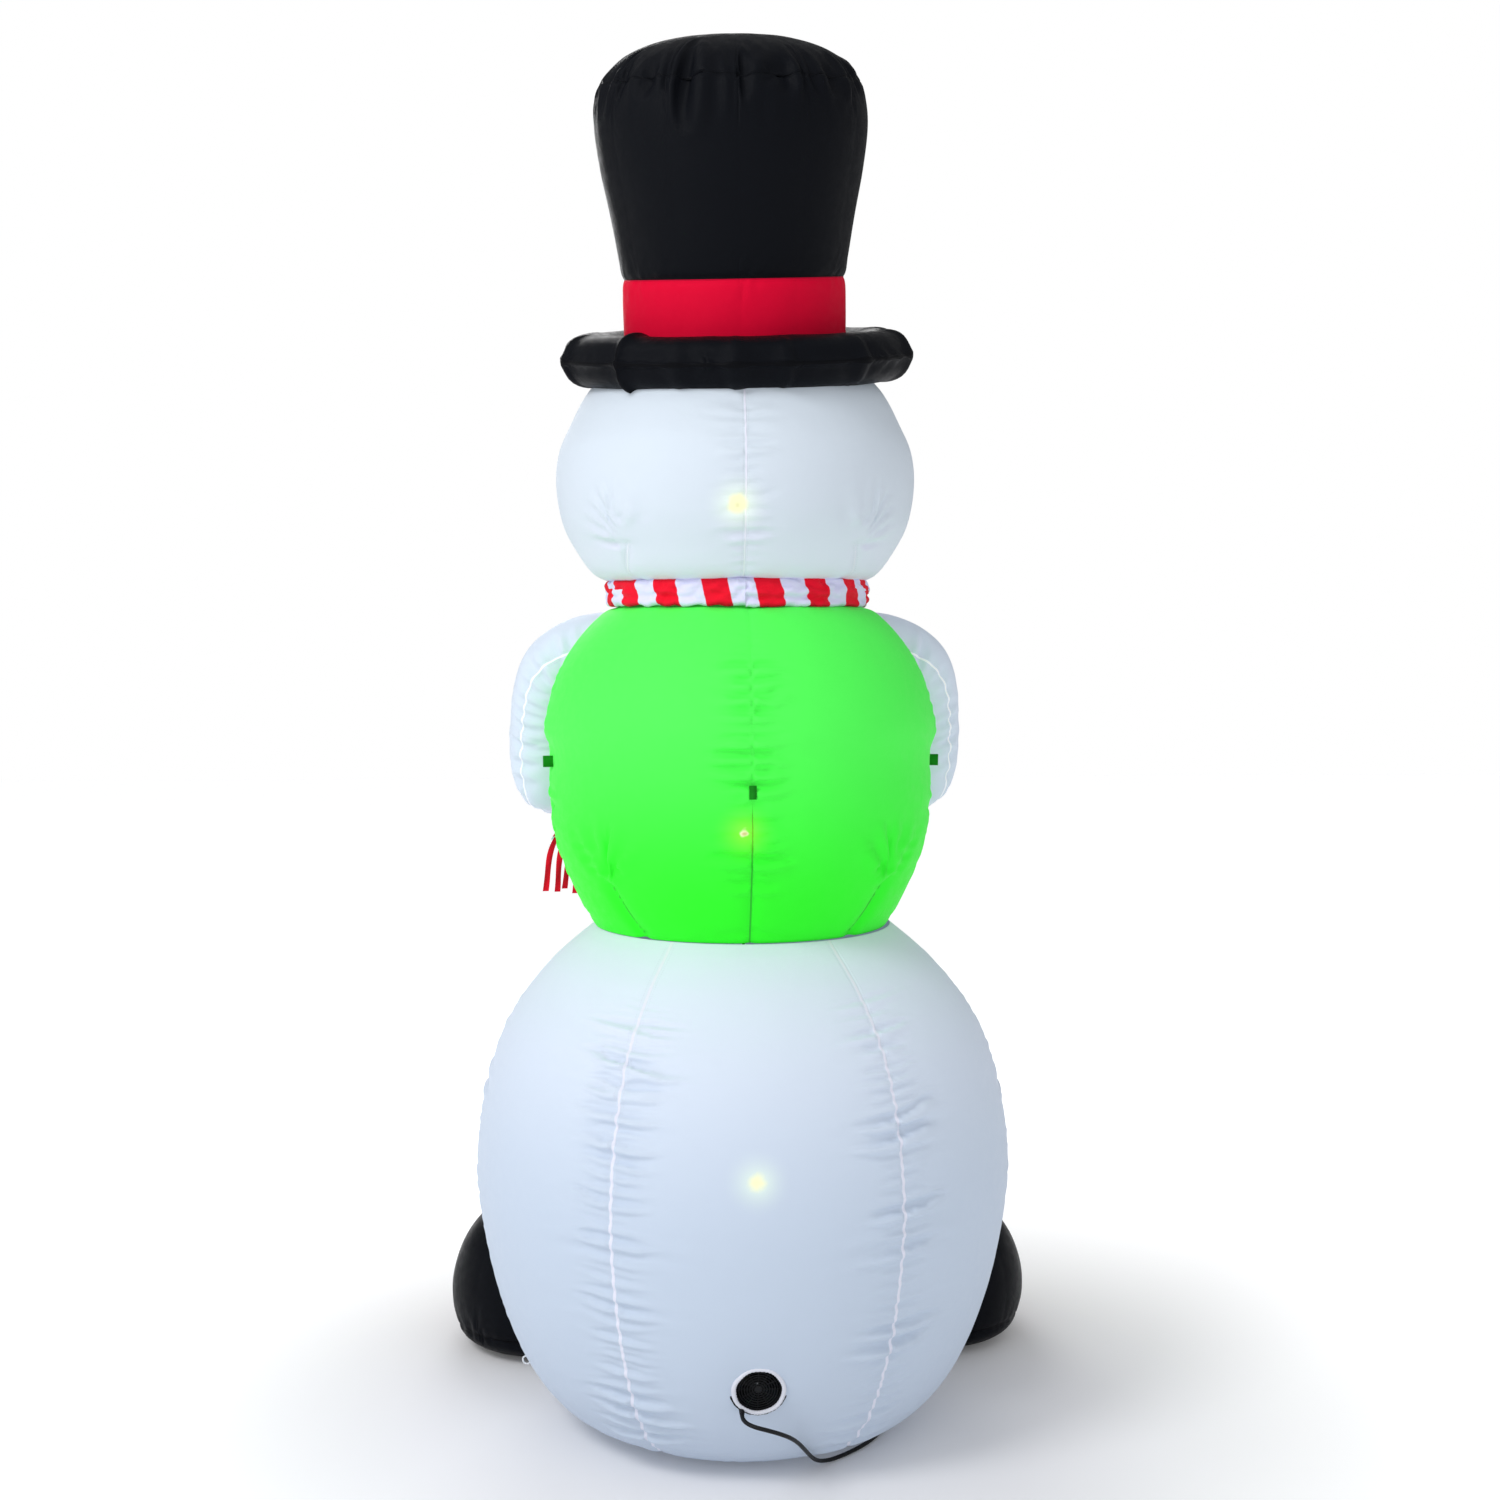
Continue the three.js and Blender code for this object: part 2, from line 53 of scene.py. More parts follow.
# ---------- camera ----------
def make_camera():
    """Behind the snowman, at eye height and a little to its left."""
    swing, pitch = deg(3.7), deg(3.64)
    distance, height, sidestep = 3.665, 1.439, 0.0134
    data = bpy.data.cameras.new("camera")
    data.sensor_width = 36
    data.lens = 49.06
    camera = bpy.data.objects.new("camera", data)
    camera.location = (
        distance * math.sin(swing) - sidestep * math.cos(swing),
        distance * math.cos(swing) + sidestep * math.sin(swing),
        height,
    )
    camera.rotation_euler = (math.pi / 2 - pitch, 0, math.pi - swing)
    scene.collection.objects.link(camera)
    scene.camera = camera


make_camera()


# ---------- curves and meshes ----------
def full_turn(count):
    """count angles evenly once round."""
    return np.linspace(0, TURN, count, endpoint=False)


def spline(points, count):
    """count points evenly along a centripetal Catmull-Rom curve through the given ones."""
    p = np.asarray(points, float)
    p = np.vstack([2 * p[0] - p[1], p, 2 * p[-1] - p[-2]])
    t = np.concatenate([[0], np.cumsum(np.linalg.norm(np.diff(p, axis=0), axis=1) ** 0.5)])

    def between(i, j, u, low, high):
        return ((t[j] - u) * low + (u - t[i]) * high) / (t[j] - t[i])

    fine = []
    for i in range(1, len(p) - 2):
        u = np.linspace(t[i], t[i + 1], 24, endpoint=False)[:, None]
        a, b, c = (between(i + k - 1, i + k, u, p[i + k - 1], p[i + k]) for k in (0, 1, 2))
        fine.append(between(i, i + 1, u, between(i - 1, i + 1, u, a, b), between(i, i + 2, u, b, c)))
    fine = np.vstack([*fine, p[-2:-1]])
    run = np.concatenate([[0], np.cumsum(np.linalg.norm(np.diff(fine, axis=0), axis=1))])
    at = np.linspace(0, run[-1], count)
    return np.stack([np.interp(at, run, fine[:, k]) for k in range(fine.shape[1])], -1)


def add_object(name, data, body="envelope", slot=None, replaces=()):
    """A new piece in the scene, riding on a body."""
    piece = bpy.data.objects.new(name, data)
    scene.collection.objects.link(piece)
    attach(piece, body)
    if replaces:
        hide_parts(*replaces)
    return piece


def build_mesh(name, points, faces, material, attributes=None):
    """A smooth-shaded mesh, with a number at each point for every attribute."""
    mesh = bpy.data.meshes.new(name)
    mesh.from_pydata(np.asarray(points, float).reshape(-1, 3).tolist(), [], faces)
    mesh.polygons.foreach_set("use_smooth", [True] * len(mesh.polygons))
    for key, values in (attributes or {}).items():
        layer = mesh.attributes.new(key, "FLOAT", "POINT")
        layer.data.foreach_set("value", np.ascontiguousarray(values, np.float32).ravel())
    mesh.materials.append(material)
    mesh.update()
    return mesh


def grid_faces(rows, columns, closed=True, start=0):
    """Quads of a grid of rows x columns; closed joins the last column to the first."""
    i, j = np.meshgrid(np.arange(rows - 1), np.arange(columns if closed else columns - 1), indexing="ij")
    k = (j + 1) % columns
    quads = np.stack([i * columns + k, i * columns + j, (i + 1) * columns + j, (i + 1) * columns + k], -1)
    return (quads.reshape(-1, 4) + start).tolist()


class Parts:
    """Several bodies gathered into one mesh."""

    def __init__(self):
        self.points, self.faces = [], []

    def add(self, points, faces, matrix=None):
        points = moved(np.asarray(points, float).reshape(-1, 3), matrix)
        start = sum(len(p) for p in self.points)
        self.points.append(points)
        self.faces += [[v + start for v in face] for face in faces]

    def lathe(self, profile, segments=32, matrix=None, wobble=None):
        """A profile of [radius, height] turned round Z; ends on the axis are closed."""
        profile = np.asarray(profile, float)
        angle = full_turn(segments)
        r = profile[:, :1] + (wobble(angle[None], profile[:, 1:]) if wobble else 0)
        points = np.stack([r * np.sin(angle), r * np.cos(angle), profile[:, 1:] + 0 * angle], -1)
        faces = grid_faces(len(profile), segments)
        for row, last in ((0, False), (len(profile) - 1, True)):
            if profile[row, 0] < 0.0025:
                ring = [row * segments + k for k in range(segments)]
                faces.append(ring[::-1] if last else ring)
        self.add(points, faces, matrix)

    def block(self, size, centre, matrix=None, bevel=0.0):
        """A box with its edges cut off at 45 degrees."""
        half = np.array(size) / 2
        b = min(bevel, 0.9 * half.min())
        x, y = half[:2]
        section = [(x - b, y), (x, y - b), (x, b - y), (x - b, -y),
                   (b - x, -y), (-x, b - y), (-x, y - b), (b - x, y)]
        rows = []
        for z, shrink in ((-half[2], b), (-half[2] + b, 0), (half[2] - b, 0), (half[2], b)):
            rows.append([(x - math.copysign(shrink, x), y - math.copysign(shrink, y), z) for x, y in section])
        points = np.array(rows) + np.array(centre)
        faces = grid_faces(4, 8)
        faces += [list(range(8)), list(range(31, 23, -1))]
        self.add(points, faces, matrix)

    def tube(self, path, radius, sides=12, matrix=None, closed=False):
        """A round bar along a path."""
        path = np.asarray(path, float)
        centre, first, second = frames(path, closed)
        angle = full_turn(sides)[None, :, None]
        radius = np.broadcast_to(radius, len(path))[:, None, None]
        points = centre[:, None] + radius * (np.cos(angle) * first[:, None] + np.sin(angle) * second[:, None])
        rows = len(path)
        if closed:
            points = np.vstack([points, points[:1]])
            rows += 1
        faces = grid_faces(rows, sides)
        if not closed:
            faces += [list(range(sides)), list(range(rows * sides - 1, (rows - 1) * sides - 1, -1))]
        self.add(points, faces, matrix)

    def piece(self, name, material, **kind):
        """The bodies as one piece in the scene."""
        mesh = build_mesh(name, np.vstack(self.points), self.faces, material)
        face_outwards(mesh)
        return add_object(name, mesh, **kind)


def face_outwards(mesh):
    """Turns every closed body's faces outwards."""
    work = bmesh.new()
    work.from_mesh(mesh)
    bmesh.ops.remove_doubles(work, verts=work.verts, dist=1e-6)
    bmesh.ops.recalc_face_normals(work, faces=work.faces)
    work.to_mesh(mesh)
    work.free()


def frames(path, closed=False):
    """The path and two unit directions across it at each point, which turn as little as possible."""
    ahead = np.roll(path, -1, axis=0) - np.roll(path, 1, axis=0)
    if not closed:
        ahead[0], ahead[-1] = path[1] - path[0], path[-1] - path[-2]
    ahead /= np.linalg.norm(ahead, axis=1, keepdims=True)
    first = np.empty_like(path)
    guess = np.array([0, 0, 1.0]) if abs(ahead[0, 2]) < 0.9 else np.array([0, 1.0, 0])
    for i, way in enumerate(ahead):
        guess = guess - guess.dot(way) * way
        guess /= np.linalg.norm(guess)
        first[i] = guess
    return path, first, np.cross(ahead, first)


def curve_object(name, points, radius, material, **kind):
    """A round bar as a curve whose own line is its centreline."""
    data = bpy.data.curves.new(name, "CURVE")
    data.dimensions = "3D"
    data.bevel_depth = radius
    data.bevel_resolution = 4
    data.use_fill_caps = True
    line = data.splines.new("POLY")
    line.points.add(len(points) - 1)
    line.points.foreach_set("co", np.hstack([points, np.ones((len(points), 1))]).ravel())
    data.materials.append(material)
    return add_object(name, data, **kind)


# ---------- materials ----------
class Paint:
    """A material whose nodes are made one call at a time."""

    def __init__(self, name, colour, roughness, metallic=0.0, **constants):
        self.material = bpy.data.materials.new(name)
        self.material.use_nodes = True
        self.tree = self.material.node_tree
        self.shader = self.tree.nodes["Principled BSDF"]
        self.set(self.shader, {"Base Color": (*colour, 1), "Roughness": roughness, "Metallic": metallic})
        self.set(self.shader, constants)
        self.where = self.node("ShaderNodeTexCoord").outputs["Object"]

    def set(self, node, inputs):
        for key, value in inputs.items():
            socket = node.inputs[key]
            if isinstance(value, bpy.types.NodeSocket):
                self.tree.links.new(value, socket)
            else:
                socket.default_value = value

    def node(self, kind, settings=None, **inputs):
        node = self.tree.nodes.new(kind)
        for key, value in (settings or {}).items():
            setattr(node, key, value)
        self.set(node, {key.replace("_", " "): value for key, value in inputs.items()})
        return node

    def math(self, operation, a, b=0.0, c=0.0):
        node = self.node("ShaderNodeMath", {"operation": operation})
        for socket, value in zip(node.inputs, (a, b, c)):
            if isinstance(value, bpy.types.NodeSocket):
                self.tree.links.new(value, socket)
            else:
                socket.default_value = value
        return node.outputs[0]

    def attribute(self, name):
        return self.node("ShaderNodeAttribute", {"attribute_name": name}).outputs["Fac"]

    def noise(self, scale, detail=3.0, roughness=0.5, vector=None):
        node = self.node("ShaderNodeTexNoise", Vector=vector or self.where, Scale=scale, Detail=detail,
                         Roughness=roughness)
        return node.outputs["Fac"]

    def span(self, value, low, high, to_low=0.0, to_high=1.0, kind="SMOOTHSTEP"):
        node = self.node("ShaderNodeMapRange", {"interpolation_type": kind}, Value=value)
        for key, number in zip(("From Min", "From Max", "To Min", "To Max"), (low, high, to_low, to_high)):
            node.inputs[key].default_value = number
        return node.outputs["Result"]

    def mix(self, share, a, b):
        node = self.node("ShaderNodeMix", {"data_type": "RGBA"})
        for key, value in ((0, share), (6, a), (7, b)):
            if isinstance(value, bpy.types.NodeSocket):
                self.tree.links.new(value, node.inputs[key])
            else:
                node.inputs[key].default_value = (*value, 1) if isinstance(value, tuple) else value
        return node.outputs[2]

    def bump(self, *layers):
        """Layers of (height, depth in metres), the coarsest first."""
        normal = None
        for height, depth in layers:
            node = self.node("ShaderNodeBump", Height=height, Strength=1.0, Distance=depth)
            if normal is not None:
                self.tree.links.new(normal, node.inputs["Normal"])
            normal = node.outputs["Normal"]
        self.set(self.shader, {"Normal": normal})


def shade(colour, factor):
    """A colour made darker or lighter."""
    return tuple(min(c * factor, 1) for c in colour)


def weave(paint, pitch):
    """Height of a plain weave with that thread pitch, from the cloth's own lengths."""
    wave = TURN / pitch
    warp = paint.math("SINE", paint.math("MULTIPLY", paint.attribute("around"), wave))
    weft = paint.math("SINE", paint.math("MULTIPLY", paint.attribute("along"), wave))
    return paint.math("MULTIPLY", warp, weft)


STITCH_PITCH = 0.0045


def seam_parts(paint, width):
    """How much a point is on the seam's own line, and on one of its stitches."""
    across = paint.attribute("across")
    line = paint.span(across, 0.55 * width, width, 1.0, 0.0)
    beside = paint.math("ABSOLUTE", paint.math("SUBTRACT", across, 2.2 * width))
    row = paint.span(beside, 0.0002, 0.0008, 1.0, 0.0)
    wave = paint.math("SINE", paint.math("MULTIPLY", paint.attribute("along"), TURN / STITCH_PITCH))
    dash = paint.span(wave, 0.0, 0.5)
    return line, paint.math("MULTIPLY", row, dash)


def fabric(name, colour, seam_colour, roughness=0.55, sheen=0.05, pitch=0.0007, seam=0.0021, lamp=None,
           painted_shading=None, specular=0.2, through=0.0):
    """Coated nylon: a fine weave, soft creases, sewn seams, painted light and shade by height, a weak even
    light that stands in for light through the cloth, and the painted spot of a lamp behind it."""
    paint = Paint(name, colour, roughness, **{"Sheen Weight": sheen, "Sheen Roughness": 0.4,
                                              "Specular IOR Level": specular})
    patches = paint.noise(2.3, 2.0)
    cloth = paint.mix(patches, shade(colour, 0.965), shade(colour, 1.03))
    # Painted light and shade by height: below low the cloth turns to a second colour, painting the ball's
    # lower part darker, the vest's lower part a deeper green and the head's lower part lighter and bluer.
    if painted_shading:
        low, high, low_shading_colour = painted_shading
        height = paint.node("ShaderNodeSeparateXYZ", Vector=paint.where).outputs["Z"]
        cloth = paint.mix(paint.span(height, low, high, 1.0, 0.0), cloth, low_shading_colour)
    line, stitch = seam_parts(paint, seam)
    cloth = paint.mix(line, cloth, seam_colour)
    cloth = paint.mix(paint.math("MULTIPLY", stitch, 0.4), cloth, shade(colour, 0.78))
    if lamp or through:
        cloth = glow(paint, cloth, shade(colour, through), *(lamp or ((0, 0, -9), (0, 0, 0), 1.0)))
    paint.set(paint.shader, {"Base Color": cloth})
    paint.set(paint.shader, {"Roughness": paint.span(paint.noise(60, 2.0), 0.3, 0.7, roughness - 0.05,
                                                     roughness + 0.06)})
    paint.bump((paint.noise(11, 4.0, 0.55), 0.0016), (paint.noise(70, 3.0), 0.00025), (line, 0.0006),
               (stitch, 0.0003), (weave(paint, pitch), 0.00005))
    return paint.material


def glow(paint, cloth, through, centre, halo_colour, size):
    """Light from inside: a little everywhere, and a small lamp's bright spot with a wide faint edge.
    Returns the cloth's colour, which the spot washes out."""
    away = paint.node("ShaderNodeVectorMath", {"operation": "DISTANCE"})
    paint.tree.links.new(paint.where, away.inputs[0])
    away.inputs[1].default_value = centre
    distance = away.outputs["Value"]
    ragged = paint.math("MULTIPLY_ADD", paint.noise(70, 2.0), 0.010, paint.math("SUBTRACT", distance, 0.005))
    spot = paint.span(ragged, 0.010 * size, 0.021 * size, 1.0, 0.0)
    core = paint.mix(paint.span(distance, 0.002, 0.008), (0.56, 0.53, 0.22), (0.88, 0.88, 0.58))
    halo = paint.math("POWER", paint.span(distance, 0.0, 0.060, 1.0, 0.0, "LINEAR"), 2.2)
    light = paint.mix(halo, through, tuple(0.55 * c + t for c, t in zip(halo_colour, through)))
    light = paint.mix(spot, light, core)
    paint.set(paint.shader, {"Emission Color": light, "Emission Strength": 1.0})
    return paint.mix(spot, cloth, (0.14, 0.14, 0.06))


def moulded(name, colour, roughness=0.4, grain=900, depth=0.00006, metallic=0.0, **more):
    """Moulded or cast stuff with a fine grain and slightly uneven gloss."""
    paint = Paint(name, colour, roughness, metallic, **more)
    patches = paint.noise(25, 3.0)
    paint.set(paint.shader, {
        "Base Color": paint.mix(patches, shade(colour, 0.86), shade(colour, 1.12)),
        "Roughness": paint.span(patches, 0.3, 0.7, roughness - 0.06, roughness + 0.08),
    })
    paint.bump((paint.noise(grain, 2.0), depth))
    return paint.material


# ---------- inflated fabric ----------
SPRINGS = (  # row step, column step, stiffness when stretched, stiffness when squeezed
    (1, 0, 1.0, 0.04),
    (0, 1, 1.0, 0.04),
    (1, 1, 0.25, 0.02),
    (1, -1, 0.25, 0.02),
    (2, 0, 0.0, 0.06),
    (0, 2, 0.0, 0.06),
)


def edge_lengths(shape, di, dj):
    return np.linalg.norm(np.roll(shape, -dj, axis=1)[di:] - shape[: len(shape) - di], axis=2)


def outward(shape):
    """Unit normals of a grid, out of the side that grid_faces turns out."""
    up = np.empty_like(shape)
    up[1:-1] = shape[2:] - shape[:-2]
    up[0] = shape[1] - shape[0]
    up[-1] = shape[-1] - shape[-2]
    across = np.roll(shape, -1, axis=1) - np.roll(shape, 1, axis=1)
    normal = np.cross(up, across)
    return normal / np.maximum(np.linalg.norm(normal, axis=2, keepdims=True), 1e-9)


def rest_lengths(design, slack_rows, slack_columns):
    """The cloth's own length along each spring."""
    rows = edge_lengths(design, 1, 0) * (1 + slack_rows[:-1])
    columns = edge_lengths(design, 0, 1) * (1 + slack_columns)
    return {
        (1, 0): rows,
        (0, 1): columns,
        (1, 1): np.hypot(rows, columns[:-1]),
        (1, -1): np.hypot(rows, np.roll(columns, 1, axis=1)[:-1]),
        (2, 0): rows[:-1] + rows[1:],
        (0, 2): columns + np.roll(columns, -1, axis=1),
    }


def inflate(design, start, slack_rows, slack_columns, steps=240, pressure=1.2e-6, cap=0.009):
    """Lets a sewn skin settle under air pressure. The cloth has the design's lengths times 1 + slack;
    what is too long for its seam buckles into puckers. No point ends further than cap from the design."""
    rows = len(design)
    rest = {k: v.astype(np.float32) for k, v in rest_lengths(design, slack_rows, slack_columns).items()}
    area = edge_lengths(design, 0, 1)
    area[:-1] *= edge_lengths(design, 1, 0)
    area[-1] = area[-2]
    push = (pressure * area / area.mean())[..., None].astype(np.float32)
    shape, speed = start.astype(np.float32), np.zeros(start.shape, np.float32)
    for _ in range(steps):
        force = outward(shape) * push
        for di, dj, pull, squeeze in SPRINGS:
            edge = (np.roll(shape, -dj, axis=1) if dj else shape)[di:] - shape[: rows - di]
            length = np.sqrt(np.einsum("ijk,ijk->ij", edge, edge))
            stretch = 1 - rest[di, dj] / np.maximum(length, 1e-9)
            edge *= (np.where(stretch > 0, pull, squeeze) * stretch)[..., None]
            force[: rows - di] += edge
            force[di:] -= np.roll(edge, dj, axis=1) if dj else edge
        speed = 0.88 * speed + 0.2 * force
        speed[0] = speed[-1] = 0
        shape = shape + speed
    moved = shape - design
    far = np.linalg.norm(moved, axis=2, keepdims=True)
    return design + moved * np.minimum(1, cap / np.maximum(far, 1e-9))


def moved(points, matrix):
    """An array of points through a matrix."""
    if matrix is None:
        return points
    m = np.array(matrix)
    return points @ m[:3, :3].T + m[:3, 3]


def waves(rng, low, high, across, along, count=7, lean=0.15):
    """Uneven waves along a seam, from about -1 to 1, with pitches from low to high."""
    total = 0
    for _ in range(count):
        pitch, phase = rng.uniform(low, high), rng.uniform(0, TURN)
        total = total + np.sin(TURN * (along + rng.normal(0, lean) * across) / pitch + phase)
    return total / math.sqrt(count)


def bell(value, width):
    return np.exp(-((value / width) ** 2))


def line_distance(u, v, points):
    """Distance from each (u, v) to a line of points."""
    best = np.full(np.broadcast(u, v).shape, 9.0)
    for (u0, v0), (u1, v1) in zip(points, points[1:]):
        du, dv = u1 - u0, v1 - v0
        t = np.clip(((u - u0) * du + (v - v0) * dv) / (du * du + dv * dv), 0, 1)
        best = np.minimum(best, np.hypot(u - u0 - t * du, v - v0 - t * dv))
    return best


def leaf_folds(seed, u, v, low, high, pitch=0.023, length=0.105, height=0.0088, lean=0.0):
    """Height of leaf-shaped folds across a seam, at uneven places from low to high along it. u is the signed
    distance from the seam and v the length along it."""
    rng = np.random.default_rng(seed)
    rise, at = 0 * (u + v), low
    while at < high:
        at += pitch * rng.uniform(0.35, 1.65)
        size = 0.24 + 0.76 * rng.random() ** 2.4
        half = length * (0.4 + 0.6 * size) * np.where(u < 0, *rng.uniform(0.65, 1.2, 2))
        taper = np.clip(1 - (u / half) ** 2, 0, 1)
        line = at + (lean + rng.normal(0, 0.05)) * u + rng.uniform(0.0, 1.3) * u * u
        t = (v - line) / ((0.0028 + 0.0050 * size) * taper + 0.0010)
        ends = min(max((at - low) / 0.05 + 0.2, 0), max((high - at) / 0.10 + 0.15, 0), 1)
        rise += height * size * ends * taper * (bell(t + 0.5, 0.8) - bell(t - 0.85, 0.5))
    return rise * (1 - 0.7 * bell(u, 0.005))


def columns_between(stops, per_gap):
    """Angles once round, closer together beside each stop."""
    stops = sorted(stops)
    angles = []
    for a, b in zip(stops, stops[1:] + [stops[0] + TURN]):
        count = max(int(per_gap * (b - a)), 8)
        t = np.arange(count) / count
        angles.append(a + (t - 0.8 * np.sin(TURN * t) / TURN) * (b - a))
    return np.concatenate(angles)


def angle_to(angles, stops):
    """The angle from each angle to the nearest stop."""
    gaps = [np.abs((angles - s + math.pi) % TURN - math.pi) for s in stops]
    return np.min(gaps, axis=0)


class Skin:
    """A body of revolution sewn from panels: rows go up its outline and columns round it.
    Each outline after the first starts where the one before it ends, at a ring seam."""

    def __init__(self, *outlines, seams, dense=(), spacing=4.6 * MM, per_gap=38, shift=0.0):
        lines = [spline(np.asarray(o, float) * MM, 240) for o in outlines]
        lengths = [np.linalg.norm(np.diff(line, axis=0), axis=1).sum() for line in lines]
        rows, along, start = [], [], 0.0
        self.rings, self.ring_rows = [], []
        for k, (line, length) in enumerate(zip(lines, lengths)):
            count = max(int(length / spacing), 6)
            t = np.linspace(0, 1, count + 1)
            if len(lines) > 1:
                t = t - 0.7 * np.sin(TURN * t) / TURN
            t = t if k == 0 else t[1:]
            rows.append(np.stack([np.interp(t, np.linspace(0, 1, 240), line[:, n]) for n in (0, 1)], -1))
            along.append(start + t * length)
            start += length
            if k < len(lines) - 1:
                self.rings.append(start)
                self.ring_rows.append(sum(len(r) for r in rows) - 1)
        self.profile, self.length = np.vstack(rows), start
        self.shift, self.seams = shift, seams
        self.along = np.concatenate(along)[:, None]
        self.angles = columns_between([*seams, *dense], per_gap)[None]
        self.radius, self.height = self.profile[:, :1], self.profile[:, 1:]
        self.across = self.radius * angle_to(self.angles, seams)
        self.fade = np.clip(np.minimum(self.along, self.length - self.along) / 0.03, 0, 1)
        slope = np.gradient(self.profile, axis=0)
        self.slope = slope / np.linalg.norm(slope, axis=1, keepdims=True)
        self.out = np.zeros(self.across.shape)
        self.seeds = np.zeros(self.across.shape)
        self.slack = np.zeros(self.across.shape)
        self.ring_slack = np.zeros(self.across.shape)
        self.marks = self.across.copy()
        for ring in self.rings:
            self.marks = np.minimum(self.marks, np.abs(self.along - ring))

    def around(self, angle):
        """Arc length from an angle, positive towards larger angles."""
        return self.radius * ((self.angles - angle + math.pi) % TURN - math.pi)

    def surface(self, out):
        r, z = self.radius + out * self.slope[:, 1:], self.height - out * self.slope[:, :1]
        return np.stack([r * np.sin(self.angles) + self.shift, r * np.cos(self.angles), z + 0 * r], -1)

    def pucker(self, seed, groove=0.003, bulge=0.003, near=0.045, far=0.02, reach=0.10, envelope=1.0):
        """Seams pulled tighter than their cloth, with puckers across them."""
        rng = np.random.default_rng(seed)
        u, v = self.across, self.along + 0 * self.across
        patchy = np.clip(0.62 + 0.55 * waves(rng, 0.10, 0.30, u, v, 5, 0.0), 0.12, 1.5) * envelope * self.fade
        self.out += (bulge * (1 - np.exp(-u / 0.05)) - groove * bell(u, 0.005)) * self.fade
        fine = 0.7 * waves(rng, 0.013, 0.026, u, v) * np.exp(-u / 0.03)
        coarse = 1.5 * waves(rng, 0.028, 0.06, u, v) * bell(u, reach)
        self.seeds += MM * (fine + coarse) * (1 - np.exp(-u / 0.004)) * patchy
        self.slack += (near * np.exp(-u / 0.035) + far * bell(u, reach)) * patchy * (u > 1e-6)

    def folds(self, seed, low, high, shares, **kind):
        """Leaf-shaped folds that cross each seam, from low to high along the outline."""
        for k, (seam, share) in enumerate(zip(self.seams, shares)):
            self.out += share * leaf_folds(seed + 100 * k, self.around(seam), self.along, low, high,
                                           lean=0.13 * math.sin(2 * seam), **kind)

    def fan(self, angle, level, leans, reach, height):
        """Folds that spread from a dart's tip; a lean is from straight up, away from the back's middle."""
        u, v = self.around(angle) * (1 if angle > 0 else -1), self.height - level
        for lean in leans:
            beside = u * math.cos(lean) - v * math.sin(lean)
            share = np.clip((u * math.sin(lean) + v * math.cos(lean)) / reach, 0, 1)
            t = beside / (0.003 + 0.010 * share)
            self.out += 4 * height * share * (1 - share) * (bell(t + 0.5, 0.8) - bell(t - 0.85, 0.5))

    def ring_pucker(self, seed, ring, groove=0.004, near=0.05, far=0.02, reach=0.05, low=0.016, high=0.05):
        """A seam that runs round the section, with puckers up and down from it."""
        rng = np.random.default_rng(seed)
        v = self.radius * self.angles
        u = np.abs(self.along - ring) + 0 * v
        patchy = np.clip(0.7 + 0.5 * waves(rng, 0.15, 0.4, u, v, 5, 0.0), 0.15, 1.5)
        self.out -= groove * bell(u, 0.007)
        ripples = waves(rng, low, high, u, v, lean=0.3) * np.exp(-u / reach)
        self.seeds += 1.3 * MM * ripples * (1 - np.exp(-u / 0.004)) * patchy
        self.ring_slack += (near * np.exp(-u / 0.02) + far * np.exp(-u / reach)) * patchy * (u > 1e-6)

    def crease(self, ring, angle, depth, reach, width=0.010):
        """One deep fold across a ring seam, narrower away from it."""
        u = np.abs(self.along - ring)
        self.out -= depth * bell(self.around(angle), width * np.exp(-u / reach) + 0.002) * bell(u, reach)

    def settle(self, matrix=None, **how):
        design = self.surface(self.out)
        start = self.surface(self.out + self.seeds)
        return moved(inflate(design, start, self.slack, self.ring_slack, **how), matrix)

    def attributes(self):
        middle = float(self.radius.mean())
        return {"across": self.marks, "along": self.along + 0 * self.across,
                "around": middle * self.angles + 0 * self.across}

    def piece(self, name, material, shape, rows=slice(None), cap=False, extra=None, **kind):
        """The skin, or the rows of it between two ring seams, as one piece; cap closes its last row."""
        shape = shape[rows]
        values = {**self.attributes(), **(extra or {})}
        values = {key: value[rows] for key, value in values.items()}
        faces = grid_faces(*shape.shape[:2])
        if cap:
            last = (len(shape) - 1) * shape.shape[1]
            faces.append([last + k for k in range(shape.shape[1])][::-1])
        return add_object(name, build_mesh(name, shape, faces, material, values), **kind)


# ---------- places on the body ----------
# The three outlines, their shifts and the inlet are the CAD's. The hat stands 4 mm farther to the snowman's
# left than the CAD's, and the scarf 4 mm less far.
BALL = [(205, 0), (267, 12), (329, 45), (387, 115), (442, 250), (474, 420),
        (475, 510), (455, 630), (420, 725), (350, 820), (265, 896)]
VEST = [(262, 897), (292, 952), (327, 1039), (339, 1125), (340, 1200), (344, 1265),
        (325, 1340), (288, 1403), (240, 1452), (212, 1464), (208, 1484)]
HEAD = [(208, 1485), (214, 1504), (248, 1521), (281, 1565), (302, 1607), (314, 1680),
        (308, 1734), (290, 1776), (258, 1836), (215, 1880), (187, 1902)]
VEST_SHIFT, HEAD_SHIFT, HAT_SHIFT, SCARF_SHIFT = 4 * MM, 13 * MM, 13 * MM, 9 * MM

INLET_HEIGHT, INLET_TILT = 190 * MM, deg(14)
SIDE_SEAM = deg(83)  # of the vest


def radius_at(outline, height):
    """Radius and outward slope of an outline at a height in metres."""
    line = spline(np.asarray(outline, float) * MM, 200)
    radius = float(np.interp(height, line[:, 1], line[:, 0]))
    ahead = float(np.interp(height + 0.004, line[:, 1], line[:, 0]))
    behind = float(np.interp(height - 0.004, line[:, 1], line[:, 0]))
    return radius, math.atan2(ahead - behind, 0.008)


